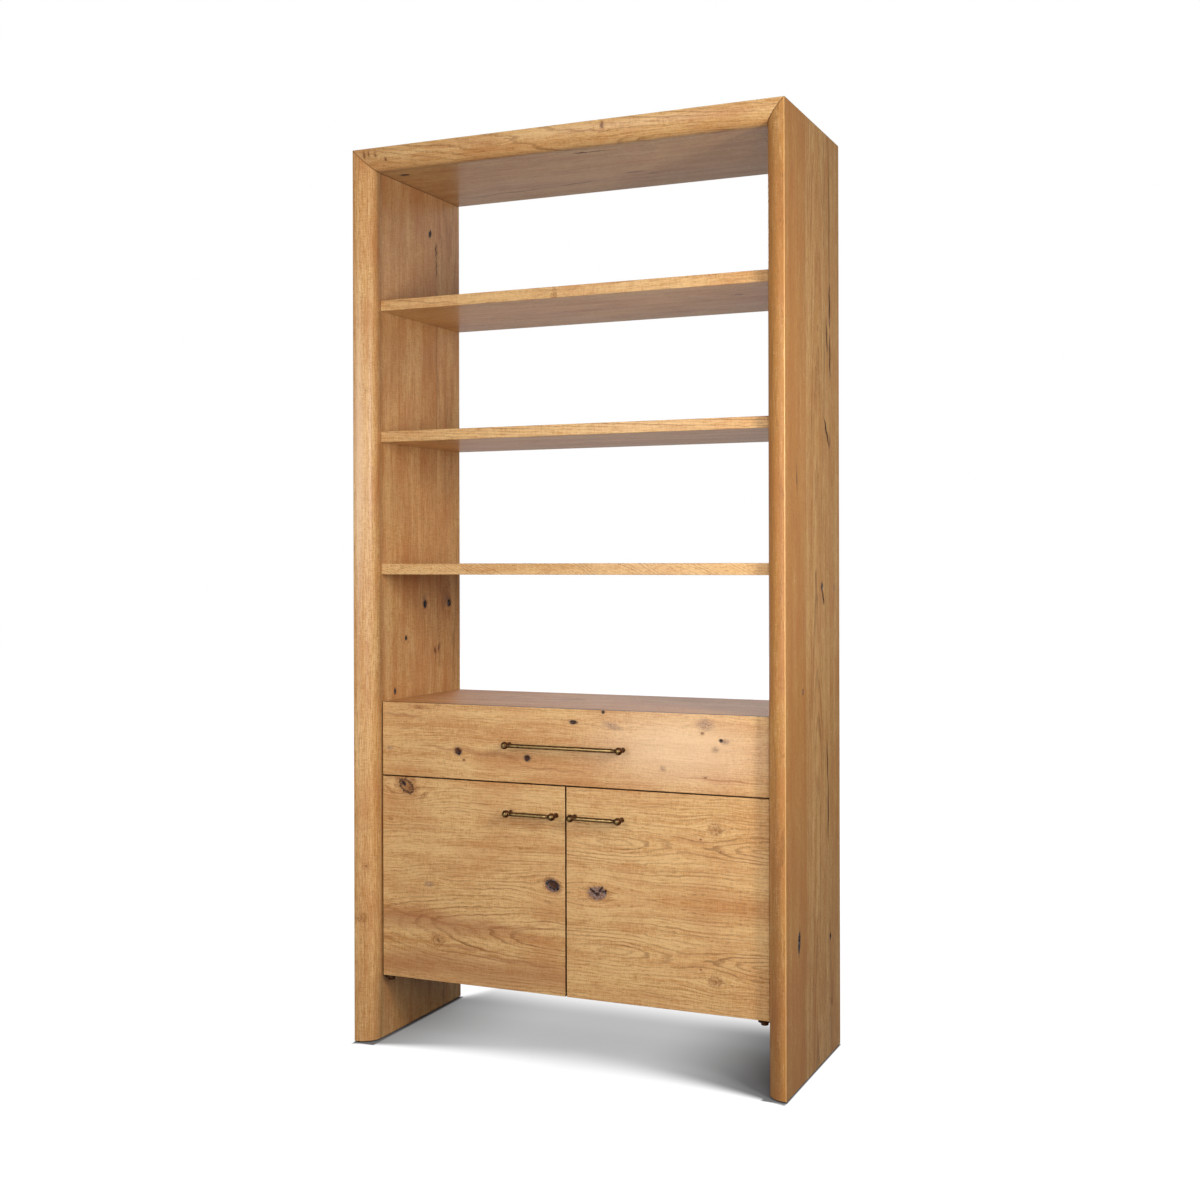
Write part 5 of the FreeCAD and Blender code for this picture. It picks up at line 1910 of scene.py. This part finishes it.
@dataclass
class DoorPair(Assembly):
    """The two flush doors, each with a short pull near the middle of the cabinet."""

    pull_middle: float = 85.5
    pull_span: float = 122.0
    pull_height: float = 594.5

    def boards(self) -> List[Board]:
        """Left and right door.

        Returns:
            The boards, each of which rides on a body of its own.
        """
        made: List[Board] = []
        for side, oak in (("left", self.left_oak()), ("right", self.right_oak())):
            near, far = sorted((HANDS[side] * DOOR_GAP, HANDS[side] * FRONT_HALF))
            low, high = (near, FACE_Y, DOOR_BOTTOM), (far, FRONTS_BACK, DOOR_TOP)
            body = "door_" + side
            made.append(Door(body + "_board", (body,), body, oak, low, high, False, HANDS[side]))
        return made

    def pulls(self) -> List[Pull]:
        """Both short pulls.

        Returns:
            The pulls, not yet built.
        """
        made = []
        for side, hand in HANDS.items():
            place = PullPlace(hand * self.pull_middle, self.pull_span, self.pull_height)
            made.append(Pull("door_pull_" + side, "door_" + side, place))
        return made

    def left_oak(self) -> Oak:
        """Oak of the left door.

        Returns:
            Its figure, with a ringed knot at the top and one of bark at its inner edge.
        """
        return Oak(
            "left_door",
            Grain.LEVEL_FRONT,
            Figure(
                heart_across=300.0, heart_through=-163.0, taper=-0.16, taper_from=80.0, spacing=8.0,
                sway=34.0, sway_length=420.0, sway_width=120.0, contrast=1.15,
                deep=0.24, warm=0.12, seed=97.0,
            ),
            Face(FACE_Y, -1),
            (
                Knot(-438.7, 642.8, 16.0, KnotKind.RING, 1.5, -38.0, 0.85),
                Knot(-446.2, 648.8, 4.2, KnotKind.HOLE, 1.6, -40.0, 0.0),
                Knot(-430.2, 636.8, 3.2, KnotKind.PIN, 1.6, -40.0, 0.0),
                Knot(-465.2, 659.3, 5.0, KnotKind.SOUND, 1.3, parting=0.0),
                Knot(-419.3, 659.3, 5.0, KnotKind.SOUND, 1.8, -30.0, 0.0),
                Knot(-387.4, 622.4, 5.0, KnotKind.SOUND, 2.4, 40.0, 0.0),
                Knot(-484.1, 556.5, 4.0, KnotKind.SOUND, 1.2),
                Knot(-36.2, 424.9, 15.5, KnotKind.BARK, 1.25, -28.0, 0.9),
                Knot(-33.2, 427.0, 11.0, KnotKind.HOLE, 1.6, -27.0, 0.0),
                Knot(-47.2, 384.9, 2.6, KnotKind.SOUND, 3.4, -10.0, 0.0),
                Knot(-349.5, 264.2, 13.0, KnotKind.SOUND, 1.1, parting=0.85),
                Knot(-364.4, 316.1, 4.0, KnotKind.SOUND, 1.3),
                Knot(-375.4, 401.9, 9.0, KnotKind.SMUDGE, 1.6),
            ),
            (
                Line((-502.1, 331.1), (-247.7, 300.2), 5.0, LineKind.STREAK, 3.0),
                Line((-325.5, 254.3), (-175.9, 250.3), 7.0, LineKind.STREAK, 2.0),
                Line((-245.7, 238.3), (-36.2, 228.3), 6.0, LineKind.STREAK, 2.0),
                Line((-502.1, 641.3), (-473.2, 619.4), 6.0, LineKind.STREAK, 1.0),
                Line((-235.7, 306.1), (-12.3, 324.1), 4.0, LineKind.STREAK, 2.0),
                Line((-580.0, 205.0), (120.0, 196.0), 48.0, LineKind.STREAK, 6.0),
                Line((-600.0, 322.0), (-120.0, 300.0), 34.0, LineKind.STREAK, 4.0),
            ),
            shaded_edges=True,
        )

    def right_oak(self) -> Oak:
        """Oak of the right door.

        Returns:
            Its figure, mirrored about a level line as opened veneer is, with a bark knot near that line.
        """
        return Oak(
            "right_door",
            Grain.LEVEL_FRONT,
            Figure(
                heart_across=130.0, heart_through=-163.0, taper=0.0, swell=44.0, swell_at=325.0,
                swell_reach=190.0, spacing=8.0, sway=26.0, sway_length=360.0, sway_width=110.0,
                contrast=0.85, deep=0.2, warm=0.08, mirror=412.5, seed=101.0,
            ),
            Face(FACE_Y, -1),
            (
                Knot(82.5, 416.9, 16.0, KnotKind.BARK, 1.5, parting=0.9, plain=True),
                Knot(71.5, 420.9, 2.8, KnotKind.HOLE, 3.4, -38.0, 0.0, plain=True),
                Knot(82.5, 414.9, 3.6, KnotKind.HOLE, 1.5, parting=0.0, plain=True),
                Knot(91.0, 425.9, 3.0, KnotKind.HOLE, 2.8, 55.0, 0.0, plain=True),
                Knot(97.0, 421.9, 2.4, KnotKind.HOLE, 1.2, parting=0.0, plain=True),
                Knot(104.0, 421.9, 2.8, KnotKind.HOLE, 1.8, 90.0, 0.0, plain=True),
                Knot(377.8, 175.5, 13.0, KnotKind.SOUND, 1.1, parting=0.85),
                Knot(395.8, 125.0, 4.0, KnotKind.SOUND, 1.3),
                Knot(342.9, 150.0, 2.0, KnotKind.PIN, 1.3, parting=0.0),
            ),
            shaded_edges=True,
        )


class Hardware:
    """Finishes of the CAD nodes that are shown as they are."""

    def __init__(self) -> None:
        """Makes one material for each kind of part."""
        pale, amber = shown(214, 184, 140), shown(182, 144, 98)
        ply = (shown(206, 172, 126), shown(168, 126, 80))
        beech = (shown(214, 176, 136), shown(180, 136, 98))
        zinc = (shown(196, 198, 200), shown(150, 152, 156))
        sintered = (shown(70, 70, 74), shown(44, 44, 48))
        self.by_slot = {
            "antique_brass": AntiqueBrass("brass_plates").material(),
            "zinc_steel": PlainMetal("zinc_steel", *zinc, roughness=0.34).material(),
            "nylon": MouldedNylon().material(),
            "magnet": PlainMetal("magnet", *sintered, roughness=0.5).material(),
            "beech": PaleWood("beech", Grain.LEVEL_SHELF, *beech, spacing=3.0).material(),
            "plywood": PaleWood("plywood_level", Grain.LEVEL_SHELF, *ply, spacing=9.0, plies=1.5).material(),
            "drawer_wood": PaleWood("drawer_wood", Grain.LEVEL_FRONT, pale, amber).material(),
        }
        back = PaleWood("plywood_back", Grain.UPRIGHT_BACK, *ply, 11.0, (60.0, 320.0), 60.0, 1.5).material()
        side = PaleWood("drawer_side_wood", Grain.DRAWER_SIDE, pale, amber).material()
        inside = Figure(-300.0, 300.0, 0.03, spacing=8.0, deep=0.35, warm=0.25, seed=131.0)
        plain_oak = Oak("inside_boards", Grain.LEVEL_SHELF, inside).material()
        self.by_node = {
            "cabinet_back": back,
            "drawer_side_left": side,
            "drawer_side_right": side,
            "cabinet_bottom": plain_oak,
            "drawer_divider": plain_oak,
            "inner_shelf": plain_oak,
        }

    def dress(self) -> None:
        """Puts the finish of its slot, or its own, on every CAD node that still shows."""
        slots = {part["node"]: part["material_slot"] for part in frame["record"]["subparts"]}
        for name, node in sorted(frame["nodes"].items()):
            if node.hide_render:
                continue
            finish = self.by_node.get(name) or self.by_slot[slots[name]]
            if not node.material_slots:
                node.data.materials.append(finish)
            for place in node.material_slots:
                place.material = finish
            LOG.info("%s: %s", name, finish.name)


@dataclass(frozen=True)
class Lamp:
    """A soft rectangular light.

    Its level is what it adds on a surface that faces it at its aim, where 1 shows a colour as it is written.
    """

    name: str
    azimuth: float
    elevation: float
    distance: float
    width: float
    height: float
    level: float


@dataclass(frozen=True)
class PaleFloor:
    """Floor that keeps the bookcase's shadow and goes to plain white away from it.

    Each span says where something starts and where it is complete, in millimetres on the floor. The glow
    paints
    the shade under the bookcase: it has a bent edge at its front, a straight one at its back and the two
    sides at its ends, is darkest by the right side, and is dark round the feet. Gloss mirrors the floor
    dimly, white far behind, and not at all from beyond the right side.
    """

    colour: Colour = (0.2, 0.205, 0.21, 1.0)
    mirror_dim: float = 0.16
    mirror_far: float = 0.6
    mirror_side: Span = (640.0, 480.0)
    mirror_behind: Span = (4500.0, 9000.0)
    under_white: float = 0.42
    under_left: Span = (-760.0, -180.0)
    under_right: Span = (540.0, 110.0)
    away_white: float = 0.9
    front_edge: float = 150.0
    front_bend: float = -74.0
    front_soft: float = 110.0
    front_narrowing: float = 0.19
    front_least: float = 8.0
    bend_reach: float = 500.0
    back_edge: float = 200.0
    back_soft: float = 210.0
    back_narrowing: float = 180.0
    back_narrows: Span = (440.0, 530.0)
    outside: Span = (557.0, 565.0)
    foot_inner: Span = (500.0, 508.0)
    foot_outer: Span = (565.0, 561.0)
    foot_front: Span = (-236.0, -231.0)
    foot_back: Span = (236.0, 231.0)
    far: Span = (900.0, 3200.0)
    far_white: float = 0.1

    def whiteness(self, x: Signal, y: Signal) -> Signal:
        """How white the floor is for the camera, on top of the light that it gets.

        Args:
            x: Row-frame X on the floor.
            y: Row-frame Y on the floor.

        Returns:
            From 0 at the feet, through grey under the cabinet, to 1 far from the bookcase.
        """
        beside = abs(x)
        under = x.ramp(*self.under_left) * x.ramp(*self.under_right) * self.under_white
        edge = (x / self.bend_reach).squared() * self.front_bend - self.front_edge
        softness = (self.front_soft - beside * self.front_narrowing).greater(self.front_least)
        front = ((edge - y) / softness).ramp(-1.0, 1.0)
        reach = self.back_soft - beside.ramp(*self.back_narrows) * self.back_narrowing
        back = ((y - self.back_edge) / reach).ramp(0.0, 1.0)
        away = front.greater(back).greater(beside.ramp(*self.outside))
        across_foot = beside.ramp(*self.foot_inner) * beside.ramp(*self.foot_outer)
        foot = across_foot * y.ramp(*self.foot_front) * y.ramp(*self.foot_back)
        far = (x.squared() + y.squared()).root().ramp(*self.far) * self.far_white
        # Painted shade under the bookcase and round the feet, on top of the real shadow.
        return (under + (self.away_white - under) * away) * (1.0 - foot) + far

    def material(self) -> bpy.types.Material:
        """Builds the floor's material.

        Returns:
            A matte surface with a glow that only the camera, glass and mirroring surfaces see.
        """
        shader = new_shader("pale_floor")
        x, y, _ = shader.place()
        white = self.whiteness(x, y)
        rays = shader.add("ShaderNodeLightPath")
        behind = y.ramp(*self.mirror_behind) * self.mirror_far
        mirrored = x.ramp(*self.mirror_side) * (behind + self.mirror_dim)
        glossy = Signal(shader, rays.outputs["Is Glossy Ray"])
        glow = {"Color": WHITE, "Strength": shader.white_where_seen(glossy * mirrored, rays) * white}
        both = {
            0: shader.node("ShaderNodeBsdfDiffuse", {}, {"Color": self.colour}),
            1: shader.node("ShaderNodeEmission", {}, glow),
        }
        surface = shader.node("ShaderNodeAddShader", {}, both)
        shader.add("ShaderNodeOutputMaterial", {}, {"Surface": surface})
        return shader.owner


@dataclass
class Studio:
    """Camera, lights, white background and floor, in metres."""

    camera_place: Triple = (1.5656, -3.5471, 1.2053)
    camera_turn: float = 0.4126
    camera_roll: float = -0.0023
    focal_pixels: float = 1552.67
    horizon: float = 560.58
    picture: float = 1200.0
    sensor: float = 36.0
    aim: Triple = (0.0, -0.2, 1.15)
    ambient: float = 0.3
    mirror_dim: float = 0.16
    mirror_cone: Span = (0.82, 0.95)
    mirror_rise: Span = (0.02, -0.05)
    lamps: Tuple[Lamp, ...] = (
        Lamp("left_key", -16.0, 5.0, 2.2, 0.5, 1.8, 0.37),
        Lamp("right_key", 36.0, 0.0, 2.1, 0.8, 1.2, 0.4),
        Lamp("strip", 62.0, 13.0, 2.1, 0.3, 0.8, 0.62),
        Lamp("overhead", 10.0, 76.0, 3.0, 2.2, 1.4, 0.17),
        Lamp("back", 195.0, 32.0, 4.2, 2.4, 2.0, 0.4),
    )
    floor_reach: float = 30.0

    def build(self) -> None:
        """Makes everything round the bookcase."""
        self.camera()
        for lamp in self.lamps:
            self.lamp(lamp)
        self.world()
        self.floor()
        bpy.context.scene.view_settings.view_transform = "Standard"

    def camera(self) -> None:
        """Makes the camera of the photograph, level and with its shift."""
        data = bpy.data.cameras.new("camera")
        data.sensor_width = self.sensor
        data.lens = self.focal_pixels * self.sensor / self.picture
        data.shift_y = (self.horizon - self.picture / 2) / self.picture
        camera = bpy.data.objects.new("camera", data)
        turn = Matrix.Rotation(self.camera_turn, 4, "Z") @ Matrix.Rotation(math.pi / 2, 4, "X")
        turn = turn @ Matrix.Rotation(self.camera_roll, 4, "Z")
        camera.matrix_world = Matrix.Translation(self.camera_place) @ turn
        bpy.context.scene.collection.objects.link(camera)
        bpy.context.scene.camera = camera

    def lamp(self, lamp: Lamp) -> None:
        """Makes one area light, aimed at the middle of the bookcase.

        Args:
            lamp: Its place, size and level.
        """
        azimuth, elevation = math.radians(lamp.azimuth), math.radians(lamp.elevation)
        level = math.cos(elevation)
        away = Vector((math.sin(azimuth) * level, -math.cos(azimuth) * level, math.sin(elevation)))
        data = bpy.data.lights.new(lamp.name, "AREA")
        data.shape = "RECTANGLE"
        data.size, data.size_y = lamp.width, lamp.height
        data.energy = lamp.level * (math.pi * lamp.distance) ** 2
        made = bpy.data.objects.new(lamp.name, data)
        made.location = Vector(self.aim) + away * lamp.distance
        made.rotation_mode = "QUATERNION"
        made.rotation_quaternion = (-away).to_track_quat("-Z", "Y")
        bpy.context.scene.collection.objects.link(made)

    def world(self) -> None:
        """Lights softly from all round, looks white, and mirrors as white low down behind the bookcase."""
        world = bpy.data.worlds.new("studio")
        bpy.context.scene.world = world
        shader = Shader(world)
        behind = (-math.sin(self.camera_turn), math.cos(self.camera_turn), 0.0)
        toward = shader.node("ShaderNodeTexCoord", output="Generated")
        turned = {0: toward, 1: behind}
        facing = shader.node("ShaderNodeVectorMath", {"operation": "DOT_PRODUCT"}, turned, output="Value")
        rise = shader.node(SPLIT, inputs={0: toward}, output=2)
        white = facing.ramp(*self.mirror_cone) * rise.ramp(*self.mirror_rise)
        rays = shader.add("ShaderNodeLightPath")
        glossy = Signal(shader, rays.outputs["Is Glossy Ray"])
        strength = (1.0 - glossy) * self.ambient + glossy * (white + self.mirror_dim)
        light = {"Color": WHITE, "Strength": shader.white_where_seen(strength, rays)}
        shader.add("ShaderNodeOutputWorld", {}, {"Surface": shader.node("ShaderNodeBackground", {}, light)})

    def floor(self) -> None:
        """Makes the floor."""
        mesh = bmesh.new()
        bmesh.ops.create_grid(mesh, x_segments=8, y_segments=8, size=self.floor_reach / 2 / MM)
        floor = put("floor", mesh)
        floor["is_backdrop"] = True
        floor.data.materials.append(PaleFloor().material())


def corners(box: Tuple[Vector, Vector]) -> List[List[float]]:
    """The two corners of a box as plain lists."""
    return [list(corner) for corner in box]


def main() -> None:
    """Builds the bookcase's pieces in order, dresses the CAD nodes that stay, and sets up the studio."""
    logging.basicConfig(level=logging.INFO, format="%(name)s: %(message)s")
    cad_box = corners(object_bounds())
    groups = [Surround(), Shelves(), Drawer(), DoorPair()]
    for group in groups:
        for board in group.boards():
            board.build()
    for group in groups:
        for pull in group.pulls():
            pull.build()
    Hardware().dress()
    Studio().build()
    {"cad": cad_box, "visual": corners(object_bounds())}


if __name__ == "__main__":
    main()
